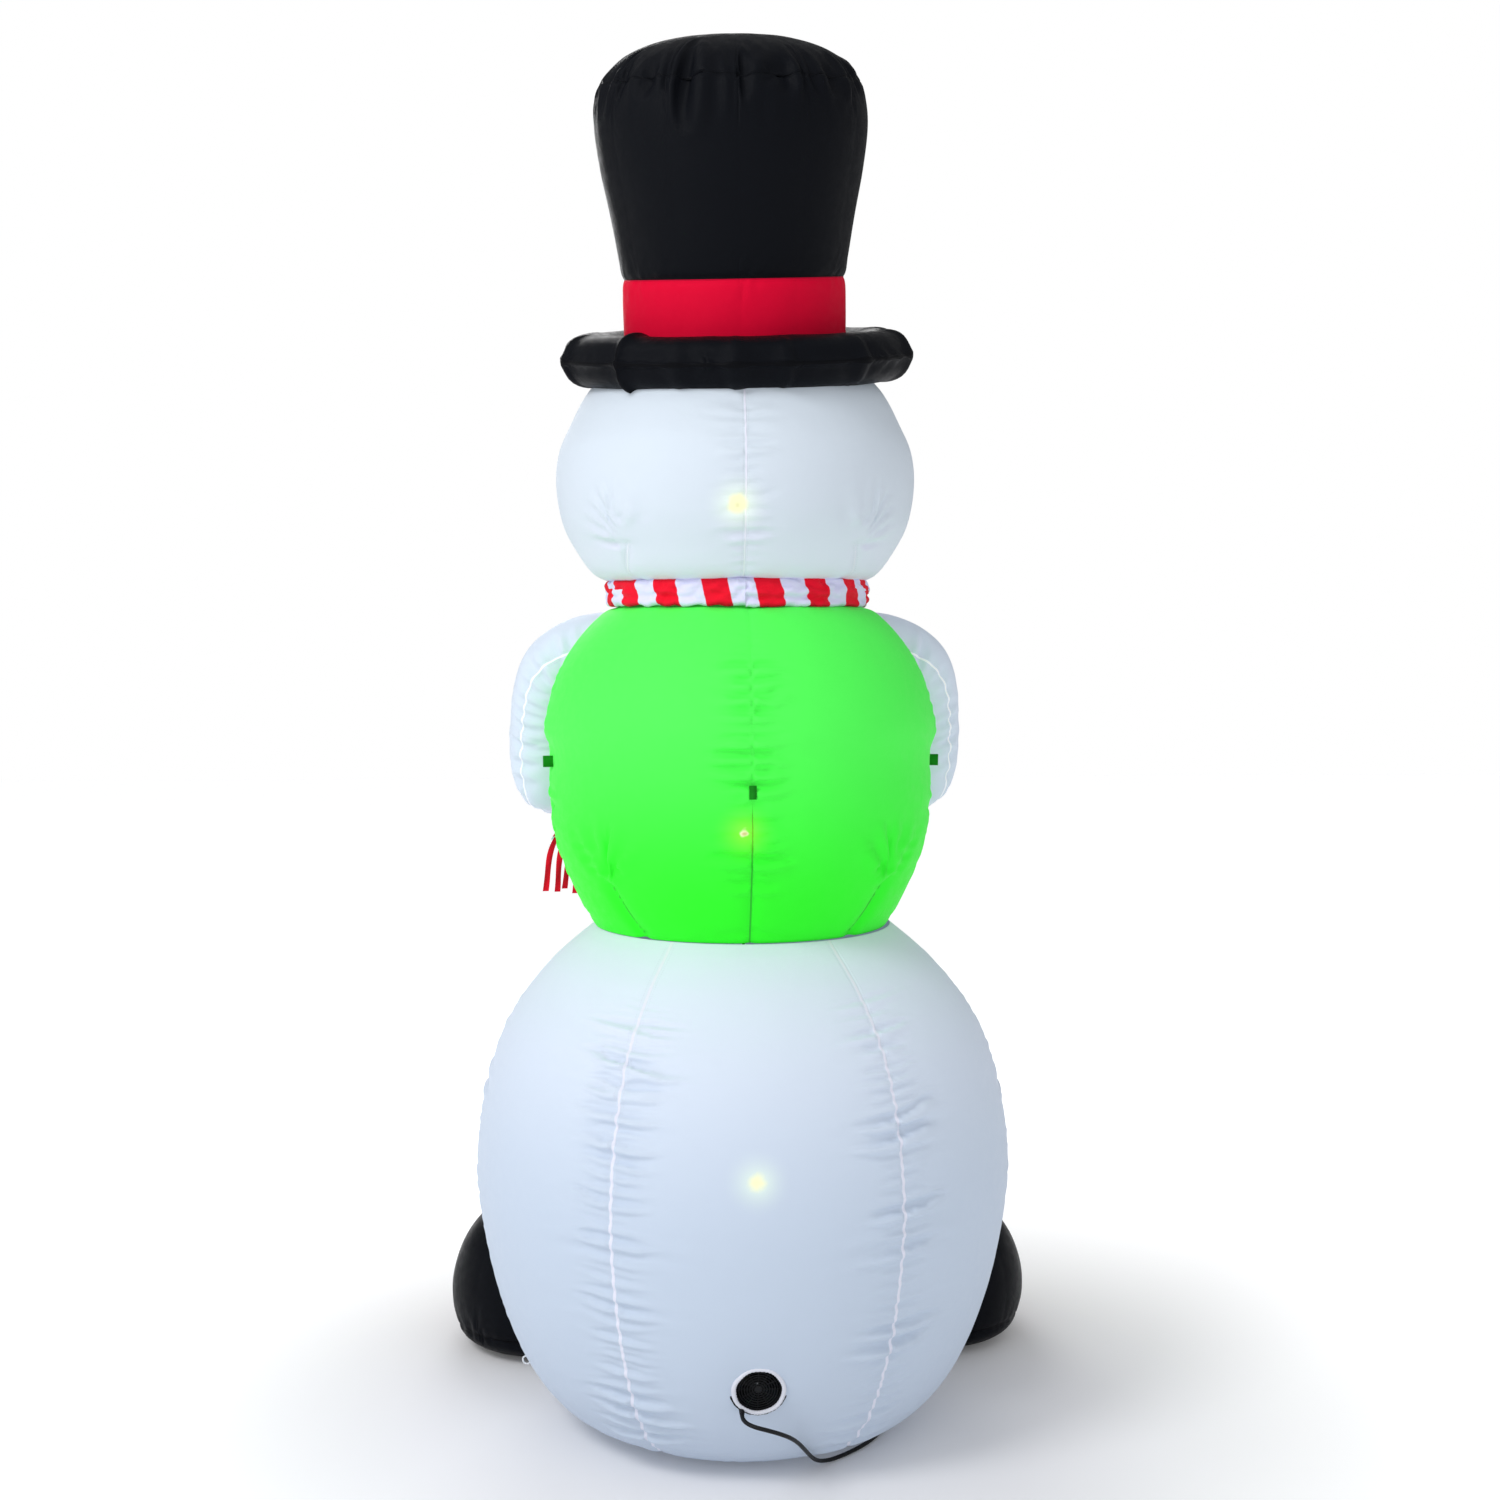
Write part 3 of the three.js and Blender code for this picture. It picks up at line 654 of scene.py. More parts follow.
def on_surface(outline, height, angle, shift=0.0, lift=0.0):
    """Matrix of a place on a body section: +Z out of it and +Y up along it."""
    radius, slope = radius_at(outline, height)
    out = Vector((math.sin(angle), math.cos(angle), -math.tan(slope))).normalized()
    side = Vector((-math.cos(angle), math.sin(angle), 0))
    up = out.cross(side)
    place = Vector((math.sin(angle) * radius + shift, math.cos(angle) * radius, height)) + out * lift
    matrix = Matrix((side, up, out)).transposed().to_4x4()
    matrix.translation = place
    return matrix


INLET = (Matrix.Translation((0, 420.9 * MM, INLET_HEIGHT))
         @ Matrix.Rotation(-(math.pi / 2 + INLET_TILT), 4, "X"))
ZIPPER_HEIGHT, ZIPPER_HALF = 160 * MM, deg(15)
HAT = (Matrix.Translation((HAT_SHIFT, 0, 1905 * MM)) @ Matrix.Rotation(-deg(9.5), 4, "X")
       @ Matrix.Rotation(deg(1.6), 4, "Y"))


# ---------- the fabrics ----------
LAMP_SPOTS = {  # the point of the cloth in front of each lamp
    "ball": (5 * MM, 0.462, 546 * MM),
    "vest": (17 * MM, 0.334, 1091 * MM),
    "head": (27 * MM, 0.304, 1629 * MM),
}
WHITE = (0.64, 0.71, 0.82)
SEAM_WHITE = (0.70, 0.71, 0.82)
GLOW = (0.62, 0.80, 0.16)
GREEN = (0.078, 0.88, 0.092)
BLACK = (0.0042, 0.0049, 0.0070)
# The colours given by height are painted light and shade: the ball's lower part darker, the head's lower part
# lighter and bluer, the vest's lower part a deeper green.
ball_white = fabric("white nylon ball", WHITE, SEAM_WHITE, lamp=(LAMP_SPOTS["ball"], GLOW, 1.05), seam=0.0036,
                    painted_shading=(0.42, 0.90, (0.475, 0.555, 0.675)), through=0.10)
head_white = fabric("white nylon head", (0.562, 0.63, 0.705), SEAM_WHITE,
                    lamp=(LAMP_SPOTS["head"], GLOW, 1.0), painted_shading=(1.50, 1.62, (0.66, 0.67, 0.82)), through=0.10)
arm_white = fabric("white nylon arm", (0.57, 0.65, 0.75), (0.90, 0.91, 0.96), through=0.13, seam=0.0027)
green = fabric("green nylon", GREEN, (0.02, 0.42, 0.02), lamp=(LAMP_SPOTS["vest"], (0.45, 0.35, 0.0), 0.45),
               painted_shading=(0.93, 1.30, (0.020, 0.87, 0.012)), through=0.10, seam=0.0018, specular=0.12)
black = fabric("black nylon", BLACK, (0.003, 0.0033, 0.0045), roughness=0.36, sheen=0.0, specular=0.035)
red = fabric("red nylon", (0.67, 0.002, 0.031), (0.5, 0.002, 0.03), sheen=0.0, specular=0.04)


# ---------- lower body ----------
def make_ball():
    seams = [deg(30 + 60 * k) for k in range(6)]
    skin = Skin(BALL, seams=seams, spacing=3.7 * MM)
    height = skin.height + 0 * skin.across
    envelope = np.clip((0.80 - height) / 0.12, 0.1, 1) * np.clip(0.45 + height / 0.25, 0, 1)
    skin.pucker(7, envelope=envelope, groove=0.0008, bulge=0.002)
    skin.folds(9, 0.11, 0.96, (1, 0.3, 1, 1, 0.3, 1))
    hem = waves(np.random.default_rng(8), 0.03, 0.10, skin.height, skin.radius * skin.angles, 7, 0.2)
    skin.out += 0.0022 * hem * np.exp(-skin.height / 0.04)
    # the cloth dips towards the inlet's ring, and lies flat under the zipper
    to_inlet = np.hypot(skin.around(0), skin.height - INLET_HEIGHT)
    skin.out -= 0.006 * bell(to_inlet, 0.07)
    beyond = np.clip(np.abs(skin.around(math.pi)) - 0.11, 0, 1)
    zipper = bell(np.hypot(beyond, skin.height - ZIPPER_HEIGHT), 0.05)
    flat = np.clip(1.6 * zipper, 0, 1)[..., None]
    shape = skin.settle() * (1 - flat) + skin.surface(0 * skin.out) * flat
    local = moved(shape, INLET.inverted())
    off = np.hypot(local[..., 0], local[..., 1])
    local[..., 2] += bell(off, 0.08) * (np.abs(local[..., 2]) < 0.1) * local[..., 0] ** 2 / 0.86
    rim = 41.5 * MM
    near = (off < rim) & (np.abs(local[..., 2]) < 0.1)
    scale = np.where(near, rim / np.maximum(off, 1e-6), 1)[..., None]
    local[..., :2] *= scale
    shape = moved(local, INLET)
    shape[..., 2] = np.maximum(shape[..., 2], 0.4 * MM)
    faces = np.array(grid_faces(*shape.shape[:2]))
    faces = faces[~near.ravel()[faces].all(axis=1)]
    mesh = build_mesh("ball_skin", shape, faces.tolist(), ball_white, skin.attributes())
    return add_object("ball_skin", mesh, slot="white_nylon", replaces=["lower_body_skin"])


make_ball()


# ---------- vest ----------
def make_vest():
    seams = [0, SIDE_SEAM, math.pi, -SIDE_SEAM]
    darts = [[(deg(42.5), 0.905), (deg(46), 0.945), (deg(48.7), 0.985)]]
    darts.append([(-a, z) for a, z in darts[0]])
    skin = Skin(VEST, seams=seams, dense=[deg(45.6), -deg(45.6)], shift=VEST_SHIFT, per_gap=40)
    height = skin.height + 0 * skin.across
    envelope = np.clip((1.36 - height) / 0.12, 0.15, 1) * 0.8
    skin.pucker(11, envelope=envelope, groove=0.0006, far=0.012, reach=0.07)
    skin.folds(12, 0.10, 0.56, (1, 0.25, 0.06, 0.25), pitch=0.017, length=0.075, height=0.0085)
    skin.marks = skin.marks + 0.0022 * np.clip((height - 1.10) / 0.06, 0, 1)
    skin.out -= 0.004 * bell(skin.across, 0.008) * bell(skin.height - 0.99, 0.13)
    for dart in darts:
        middle, tip = dart[1][0], dart[2]
        arc = [((a - middle) * 0.29, z) for a, z in dart]
        away = line_distance(skin.around(middle), skin.height, arc)
        skin.out -= 0.009 * bell(away, 0.011)
        skin.marks = np.minimum(skin.marks, away)
        skin.fan(*tip, (-0.75, -0.35, 0.05, 0.5), 0.13, 0.006)
    for angle in (SIDE_SEAM, -SIDE_SEAM):  # the side seams are drawn in where the tabs are sewn
        u = skin.around(angle)
        skin.out -= 0.010 * bell(np.hypot(0.6 * u, skin.height - 1.200), 0.020)
        skin.out += 0.005 * bell(np.hypot(0.5 * u, skin.height - 1.247), 0.026)
    shape = skin.settle()
    return skin.piece("vest_skin_piece", green, shape, slot="green_nylon", replaces=["vest_skin"])


make_vest()


# ---------- head ----------
def make_head():
    seams = [0, math.pi]
    darts = [[(deg(41.5), 1.568), (deg(50), 1.522), (deg(48), 1.496)]]
    darts.append([(-a, z) for a, z in darts[0]])
    dense = [deg(k) for k in (47, -47, 110, -110)]
    skin = Skin(HEAD, seams=seams, dense=dense, shift=HEAD_SHIFT, per_gap=38)
    skin.pucker(23, groove=0.001, far=0.010, reach=0.05)
    skin.folds(24, 0.05, 0.36, (1, 0.25), pitch=0.015, length=0.062, height=0.0042)
    for dart in darts:
        middle = dart[1][0]
        arc = [((a - middle) * 0.25, z) for a, z in dart]
        away = line_distance(skin.around(middle), skin.height, arc)
        skin.out -= 0.003 * bell(away, 0.007)
        skin.marks = np.minimum(skin.marks, away)
        skin.fan(*dart[0], (-0.2, 0.15, 0.45, 0.75, 1.05, 1.35), 0.11, 0.0042)
    shape = skin.settle()
    return skin.piece("head_skin_piece", head_white, shape, slot="white_nylon", replaces=["head_skin"])


make_head()


# ---------- hat ----------
BAND = [(195, 16), (195.5, 80), (195, 135.5)]
CROWN = [(195, 135.5), (199.5, 164), (213, 245), (228, 324), (236, 404), (225, 462)]
TOP = [(225, 462), (186, 503), (122, 529), (50, 539), (3, 541)]
BRIM = [[(197, 16), (222, 36), (262, 45), (295, 32), (306, 0)],
        [(306, 0), (294, -32), (264, -45), (236, -38)]]
TOP_CREASES = [  # degrees from the back, depth and reach in mm
    (20.5, 17, 55), (-3, 10, 34), (-15, 13, 42), (-21, 9, 36), (-45, 9, 30), (56, 7, 32), (40, 7, 30),
    (95, 12, 42), (128, 11, 36), (160, 13, 42), (-80, 12, 40), (-112, 11, 36), (-150, 14, 46),
]
BRIM_CREASES = [
    (42, 8, 70), (3, 10, 50), (-13, 7, 40), (-41, 8, 40), (22, 6, 45), (75, 9, 50), (110, 9, 50),
    (150, 10, 50), (-75, 9, 50), (-105, 10, 50), (-140, 9, 50), (180, 8, 50),
]


def make_hat():
    shell = Skin(BAND, CROWN, TOP, seams=[math.pi], dense=[k * TURN / 12 for k in range(12)], spacing=6 * MM,
                 per_gap=44)
    band_seam, top_seam = shell.rings
    shell.pucker(31, groove=0.001, bulge=0.0, far=0.008, reach=0.04)
    shell.ring_pucker(32, top_seam, groove=0.004, near=0.08, far=0.05)
    shell.out += leaf_folds(35, shell.along - top_seam, 0.10 * (shell.angles % TURN), 0, 0.62, pitch=0.019,
                            length=0.11, height=0.014) * shell.fade
    shell.ring_pucker(33, band_seam, groove=0.003, near=0.02, far=0.004, reach=0.03)
    for angle, depth, reach in TOP_CREASES:
        shell.crease(top_seam, deg(angle), depth * MM, reach * MM)
    shape = shell.settle(HAT, cap=0.014)
    at_band, at_top = shell.ring_rows
    shell.piece("hat_band_cloth", red, shape, slice(0, at_band + 1), slot="red_nylon", replaces=["hat_band"])
    shell.piece("hat_crown_cloth", black, shape, slice(at_band, at_top + 1), slot="black_nylon",
                replaces=["hat_crown"])
    shell.piece("hat_top_cloth", black, shape, slice(at_top, None), cap=True, slot="black_nylon",
                replaces=["hat_top"])
    brim = Skin(*BRIM, seams=[deg(42)], dense=[deg(42) + k * TURN / 12 for k in range(1, 12)], spacing=5 * MM,
                per_gap=46)
    brim.pucker(41, groove=0.003, bulge=0.0, near=0.02, far=0.01, reach=0.04)
    brim.ring_pucker(42, brim.rings[0], groove=0.004, near=0.025, far=0.015, reach=0.03, low=0.03, high=0.09)
    for angle, depth, reach in BRIM_CREASES:
        brim.crease(brim.rings[0], deg(angle), depth * MM, reach * MM, 0.015)
    brim.piece("hat_brim_cloth", black, brim.settle(HAT, cap=0.010), slot="black_nylon",
               replaces=["hat_brim"])


make_hat()


# ---------- scarf ----------
NECK = 1485 * MM
STRIPE_TURN = deg(22.5)  # one red and one white stripe
STRIPE_LENGTH = 90 * MM
ROLL = [(214, 1471), (222, 1463), (229.5, 1465), (232, 1475),
        (232.5, 1492), (231.5, 1503), (226, 1509), (214, 1505)]


def striped(name):
    """Scarf cloth: red and white stripes from the mesh's own stripe value, soft weave and creases."""
    paint = Paint(name, (0.8, 0.01, 0.03), 0.7, **{"Sheen Weight": 0.03, "Sheen Roughness": 0.5,
                                                   "Specular IOR Level": 0.1})
    ragged = paint.noise(90, 2.0)
    stripe = paint.math("SUBTRACT", paint.attribute("stripe"), 0.04)
    edge = paint.math("MULTIPLY_ADD", ragged, 0.08, stripe)
    patches = paint.noise(14, 3.0)
    white = paint.mix(patches, (0.66, 0.65, 0.90), (0.76, 0.77, 0.98))
    bright = paint.mix(patches, (0.74, 0.003, 0.015), (0.88, 0.006, 0.035))
    paint.set(paint.shader, {"Base Color": paint.mix(paint.span(edge, -0.06, 0.06), white, bright)})
    paint.bump((paint.noise(38, 4.0, 0.6), 0.0022), (paint.noise(160, 3.0), 0.0004),
               (weave(paint, 0.0012), 0.0001))
    return paint.material


scarf_cloth = striped("scarf cloth")


def make_scarf_wrap():
    skin = Skin(ROLL, seams=[math.pi], dense=[k * TURN / 10 for k in range(10)], spacing=2.6 * MM, per_gap=46,
                shift=SCARF_SHIFT)
    rng = np.random.default_rng(51)
    v, s = skin.radius * skin.angles, skin.along + 0 * skin.across
    folds = waves(rng, 0.012, 0.03, v, s, 5, 0.12)
    skin.out += (2.2 * MM * folds + 1.4 * MM * waves(rng, 0.05, 0.16, s, v, 5, 0.4)) * skin.fade
    skin.out += 1.8 * MM * waves(rng, 0.022, 0.05, s, v, 6, 0.9) * skin.fade
    # towards the sides its upper turn folds over the lower one, and the stripes of the two don't meet
    lapped = np.clip((angle_to(skin.angles, [0]) - deg(56)) / deg(8), 0, 1)
    lap = skin.height - NECK - 4 * MM - 5 * MM * np.sin(5 * skin.angles + 1)
    skin.out += (1.6 * MM * bell(lap - 3 * MM, 4 * MM) - 3.6 * MM * bell(lap, 1.8 * MM)) * lapped
    skin.seeds += 0.6 * MM * waves(rng, 0.010, 0.03, s, v, 7, 0.6) * skin.fade
    skin.slack += 0.02
    skin.ring_slack += 0.02
    shape = skin.settle(steps=120, cap=0.005)
    slant = (skin.height - NECK) / (400 * MM) + 0.30 * lapped * (lap > 0)
    stripe = np.cos(TURN * ((skin.angles - deg(12)) / STRIPE_TURN - slant))
    skin.piece("scarf_wrap_cloth", scarf_cloth, shape, extra={"stripe": stripe}, slot="scarf_fabric",
               replaces=["scarf_wrap"])


def make_knot():
    """The wrapped knot: a puffed turn of cloth with folds that run round it."""
    angle, radius = deg(26), (238 + 27) * MM
    matrix = (Matrix.Translation((HEAD_SHIFT + math.sin(angle) * radius, -math.cos(angle) * radius, NECK))
              @ Matrix.Rotation(angle, 4, "Z"))
    skin = Skin([(3, -34), (24, -29), (38, -15), (42, 0), (38, 15), (24, 29), (3, 34)], seams=[math.pi],
                dense=[0, deg(90), -deg(90)], spacing=2.4 * MM, per_gap=22)
    rng = np.random.default_rng(52)
    v, s = skin.radius * skin.angles, skin.along + 0 * skin.across
    skin.out += 2.4 * MM * waves(rng, 0.016, 0.04, s, v, 5, 0.5) * skin.fade
    shape = skin.surface(skin.out) * np.array([1, 26 / 42, 1])
    stripe = np.cos(TURN * (s / STRIPE_LENGTH + 0.1 * np.sin(skin.angles)))
    skin.piece("scarf_knot_cloth", scarf_cloth, moved(shape, matrix), cap=True, extra={"stripe": stripe},
               slot="scarf_fabric", replaces=["scarf_knot"])


def ease(t):
    t = np.clip(t, 0, 1)
    return t * t * (3 - 2 * t)


def ribbon(stations, width, rows, columns, wave, rng, twist=0.0):
    """A cloth strip through [degrees from the front, height, radius] stations, with soft folds. It turns by
    twist towards its lower end."""
    line = [(r * math.sin(deg(a)), -r * math.cos(deg(a)), z) for a, z, r in stations]
    path = spline(np.array(line) * MM, rows)
    turn = np.arctan2(path[:, 0], -path[:, 1]) - twist * ease(np.linspace(-1.2, 1.0, rows))
    side = np.stack([np.cos(turn), np.sin(turn), 0 * turn], -1)
    ahead = np.gradient(path, axis=0)
    out = np.cross(ahead, side)
    out /= np.linalg.norm(out, axis=1, keepdims=True)
    along = np.linspace(0, np.linalg.norm(np.diff(path, axis=0), axis=1).sum(), rows)[:, None]
    u = np.linspace(-0.5, 0.5, columns)[None]
    ripple = waves(rng, 0.05, 0.12, along, u * width, 4, 0.3)
    ripple = wave * (ripple + 0.5 * waves(rng, 0.06, 0.14, u, along, 4, 0.5))
    free = np.clip(along / 0.06, 0, 1)
    gather = 1 - 0.12 * np.cos(TURN * u) * (1 - free)
    shape = path[:, None] + side[:, None] * (u * width * gather)[..., None]
    return shape + out[:, None] * (ripple * free)[..., None], along + 0 * u, u * width + 0 * along


def make_tail(word, stations, seed, fringe_from, twist):
    """A scarf tail as a cut sheet, and the strips of its fringe."""
    rng = np.random.default_rng(seed)
    width, length_rows, columns = 90 * MM, 110, 25
    shape, along, u = ribbon(stations, width, length_rows, columns, 2.4 * MM, rng, twist)
    rows = int(length_rows * fringe_from)
    stripe = np.cos(TURN * (along - along[rows, 0]) / STRIPE_LENGTH + 2.2 - 0.35 * u / width)
    values = {"stripe": stripe[: rows + 1], "along": along[: rows + 1], "around": u[: rows + 1]}
    faces = grid_faces(rows + 1, columns, closed=False)
    mesh = build_mesh(f"scarf_tail_{word}_cloth", shape[: rows + 1], faces, scarf_cloth, values)
    tail = add_object(f"scarf_tail_{word}_cloth", mesh, slot="scarf_fabric", replaces=[f"scarf_tail_{word}"])
    points, faces, marks = [], [], []
    for k in range(5):
        part = shape[rows - 1 :, 5 * k : 5 * k + 4].copy()
        share = np.linspace(0, 1, len(part))[:, None, None]
        swing = rng.normal(0, 2.5 * MM, 3)
        part += share**1.5 * swing
        faces += grid_faces(len(part), 4, closed=False, start=sum(len(p) for p in points))
        points.append(part.reshape(-1, 3))
        marks.append(np.ones(part.shape[0] * 4))
    flat = {"stripe": np.concatenate(marks), "along": np.concatenate([p[:, 2] for p in points]),
            "around": np.concatenate([p[:, 0] for p in points])}
    fringe_mesh = build_mesh(f"scarf_fringe_{word}", np.vstack(points), faces, scarf_cloth, flat)
    fringe = add_object(f"scarf_fringe_{word}", fringe_mesh, slot="scarf_fabric")


LEFT_TAIL = [(37, 1444, 266), (37, 1385, 320), (38, 1320, 354), (40, 1240, 364),
             (42, 1150, 363), (49, 1075, 368), (54, 1010, 388), (55.5, 925, 396)]
RIGHT_TAIL = [(16, 1444, 266), (16, 1385, 320), (16, 1300, 358), (16, 1200, 362), (16, 1080, 360)]
make_scarf_wrap()
make_knot()
make_tail("left", LEFT_TAIL, 61, 0.82, deg(42))
make_tail("right", RIGHT_TAIL, 62, 0.80, 0.0)


# ---------- arms and mittens ----------
ARM_RADIUS = 73 * MM
ARM_ROUTE = np.array([(170, -84, 1362), (250, -120, 1380), (327, -158, 1345),
                      (352, -208, 1250), (348, -262, 1148), (290, -378, 1165)]) * MM


def make_arm(word, side, seed):
    """A straight sleeve bent at the elbow, so its inner side has too much cloth and folds."""
    path, first, second = frames(spline(ARM_ROUTE * (side, 1, 1), 118))
    facing = np.array([side * math.sin(deg(33)), math.cos(deg(33)), 0])
    seam = -math.atan2(second[40] @ facing, first[40] @ facing)
    angles = columns_between([seam, seam + math.pi, seam + math.pi / 2, seam - math.pi / 2], 15)[None]
    along = np.linspace(0, np.linalg.norm(np.diff(path, axis=0), axis=1).sum(), len(path))[:, None]
    across = ARM_RADIUS * angle_to(angles, [seam]) + 0 * along
    rng = np.random.default_rng(seed)
    fade = np.clip(np.minimum(along, along[-1] - along) / 0.02, 0, 1)
    cuff = np.abs(along[-1] - along)
    signed = ARM_RADIUS * ((angles - seam + math.pi) % TURN - math.pi) + 0 * along
    out = leaf_folds(seed + 5, signed, along, 0.09, float(along[-1, 0]), pitch=0.018, length=0.065,
                     height=0.0065)
    out = (out - 0.001 * bell(across, 0.005)) * fade - 0.006 * bell(cuff, 0.012)
    v = ARM_RADIUS * angles
    beside_seam = waves(rng, 0.016, 0.045, across, along, 8)
    seeds = 1.2 * MM * beside_seam * np.exp(-across / 0.05) * (across > 1e-4) * fade
    seeds += 0.9 * MM * waves(rng, 0.02, 0.05, cuff, v, 7, 0.3) * np.exp(-cuff / 0.03)
    seeds += 0.7 * MM * waves(rng, 0.03, 0.07, v, along, 6, 0.3) * fade

    shoulder = ARM_RADIUS * (0.35 + 0.65 * np.sqrt(1 - np.clip(1 - along / 0.085, 0, 1) ** 2))

    def surface(extra):
        r = shoulder + extra
        ring = np.cos(angles)[..., None] * first[:, None] - np.sin(angles)[..., None] * second[:, None]
        return path[:, None] + r[..., None] * ring

    design = surface(out)
    step = float(along[-1, 0]) / (len(path) - 1)
    local = edge_lengths(design, 1, 0)
    spare = np.clip(step / np.maximum(local, 1e-6) - 1, 0, 0.30) * 0.7
    slack = np.vstack([spare, spare[-1:]]) + (0.05 * np.exp(-across / 0.03)) * (across > 1e-6)
    cuff_slack = 0.03 * np.exp(-cuff / 0.03) + 0 * slack
    shape = inflate(design, surface(out + seeds), slack * fade, cuff_slack, cap=0.012)
    values = {"across": np.minimum(across, cuff + 0 * across), "along": along + 0 * across,
              "around": v + 0 * along}
    mesh = build_mesh(f"{word}_sleeve", shape, grid_faces(*shape.shape[:2]), arm_white, values)
    add_object(f"{word}_sleeve", mesh, slot="white_nylon", replaces=[f"{word}_arm"])
    return Vector(path[-1]), Vector(path[-1] - path[-2]).normalized()


def make_mitten(word, side, wrist, ahead, seed):
    hand = Matrix.Translation(wrist) @ Vector((0, 0, 1)).rotation_difference(ahead).to_matrix().to_4x4()
    palm = Skin([(73, -1), (84, 25), (88, 55), (80, 115), (46, 160), (18, 173), (3, 175)],
                seams=[0, math.pi], dense=[deg(90), -deg(90)], spacing=3.6 * MM, per_gap=18)
    palm.pucker(seed, far=0.015, reach=0.03)
    palm.piece(f"{word}_mitten_palm", red_mitten, palm.settle(hand, cap=0.006), cap=True, slot="mitten_nylon",
               replaces=[f"{word}_mitten"])
    thumb = Skin([(24, -38), (32, -16), (34, 0), (31, 22), (18, 44), (3, 54)], seams=[0, math.pi],
                 dense=[deg(90), -deg(90)], spacing=3.2 * MM, per_gap=12)
    thumb.pucker(seed + 1, far=0.01, reach=0.02)
    place = (hand @ Matrix.Translation((-side * 74 * MM, 0, 78 * MM)) @ Matrix.Rotation(-side * 0.5, 4, "Y"))
    thumb.piece(f"{word}_mitten_thumb", red_mitten, thumb.settle(place, cap=0.004), cap=True,
                slot="mitten_nylon")


red_mitten = fabric("red mitten nylon", (0.72, 0.004, 0.035), (0.45, 0.003, 0.02), specular=0.12)
for word, side, seed in (("left", 1, 71), ("right", -1, 76)):
    make_mitten(word, side, *make_arm(word, side, seed), seed + 2)


# ---------- boots ----------
def make_boot(word, side, seed):
    """A padded boot: a ring seam above its sole, and a seam from toe to heel."""
    centre = np.array([side * 391 - 16, -386, 111]) * MM
    toe, heel, half_width = 290, 180, 177
    sole = [(3, -111), (60, -110), (120, -104), (158, -84), (170, -62)]
    upper = [(170, -62), (178, -20), (176, 30), (152, 95), (105, 148), (50, 178), (3, 185)]
    skin = Skin(sole, upper, seams=[0, math.pi], dense=[deg(k) for k in (45, 90, 135, -45, -90, -135)],
                spacing=6 * MM, per_gap=34)
    skin.pucker(seed, far=0.015, reach=0.05)
    skin.ring_pucker(seed + 1, skin.rings[0], groove=0.004)
    shape = skin.settle(cap=0.009)
    ahead = shape[..., 1] < 0
    shape[..., 1] *= np.where(ahead, toe / half_width, heel / half_width)
    shape = shape + centre
    shape[..., 2] = np.maximum(shape[..., 2], 0.6 * MM)
    skin.piece(f"{word}_boot_cloth", black, shape, cap=True, slot="black_nylon", replaces=[f"{word}_boot"])


make_boot("left", 1, 81)
make_boot("right", -1, 85)


# ---------- buttons and face ----------
coal = moulded("coal fabric", (0.012, 0.012, 0.014), 0.6, 500, 0.0002)
carrot_cloth = fabric("orange nylon", (0.80, 0.17, 0.015), (0.6, 0.10, 0.01), seam=0.0014, through=0.06)


def make_badge(name, node, radius, thickness, matrix, holes=0):
    """A stuffed disc sewn on round its edge, with holes where it is a button."""
    parts = Parts()
    r, t = radius * MM, thickness * MM
    profile = [(0.5 * MM, 0), (r - 1.5 * MM, 0), (r, 0.18 * t), (r - 0.6 * MM, 0.4 * t),
               (r - 2.2 * MM, 0.52 * t), (r - 3.2 * MM, 0.5 * t), (0.8 * r, 0.8 * t), (0.5 * r, 0.97 * t),
               (0.5 * MM, t)]
    parts.lathe(profile, 48, matrix, lambda a, z: 0.0006 * np.sin(24 * a) * (np.abs(z - 0.3 * t) < 0.4 * t))
    for k in range(24):
        turn = Matrix.Rotation(k * TURN / 24, 4, "Z") @ Matrix.Translation((0, r - 2.8 * MM, 0.56 * t))
        parts.block((2.6 * MM, 0.7 * MM, 0.5 * MM), (0, 0, 0), matrix @ turn, 0.1 * MM)
    for k in range(holes):
        turn = Matrix.Rotation((k + 0.5) * TURN / holes, 4, "Z") @ Matrix.Translation((0, 0.24 * r, t * 0.97))
        ring = [(0.055 * r * math.cos(a), 0.055 * r * math.sin(a), 0) for a in full_turn(14)]
        parts.tube([(x * 1.5, y * 1.5, z) for x, y, z in ring], 0.7 * MM, 8, matrix @ turn, closed=True)
    parts.piece(name, coal, slot="coal_fabric", replaces=[node])


for word, height in (("upper", 1352), ("middle", 1215), ("lower", 1040)):
    make_badge(f"button_{word}_pad", f"button_{word}", 27, 9,
               on_surface(VEST, height * MM, math.pi, VEST_SHIFT, 0.4 * MM), 4)
for word, side in (("left", 1), ("right", -1)):
    make_badge(f"{word}_eye_pad", f"{word}_eye", 25, 6,
               on_surface(HEAD, 1752 * MM, math.pi - side * deg(19), HEAD_SHIFT, 0.4 * MM))
for k, degrees in enumerate((-26, -14, 0, 14, 26), 1):
    height = (1590 + 30 * (degrees / 26) ** 2) * MM
    make_badge(f"mouth_coal_{k}_pad", f"mouth_coal_{k}", 14, 5,
               on_surface(HEAD, height, math.pi - deg(degrees), HEAD_SHIFT, 0.4 * MM))


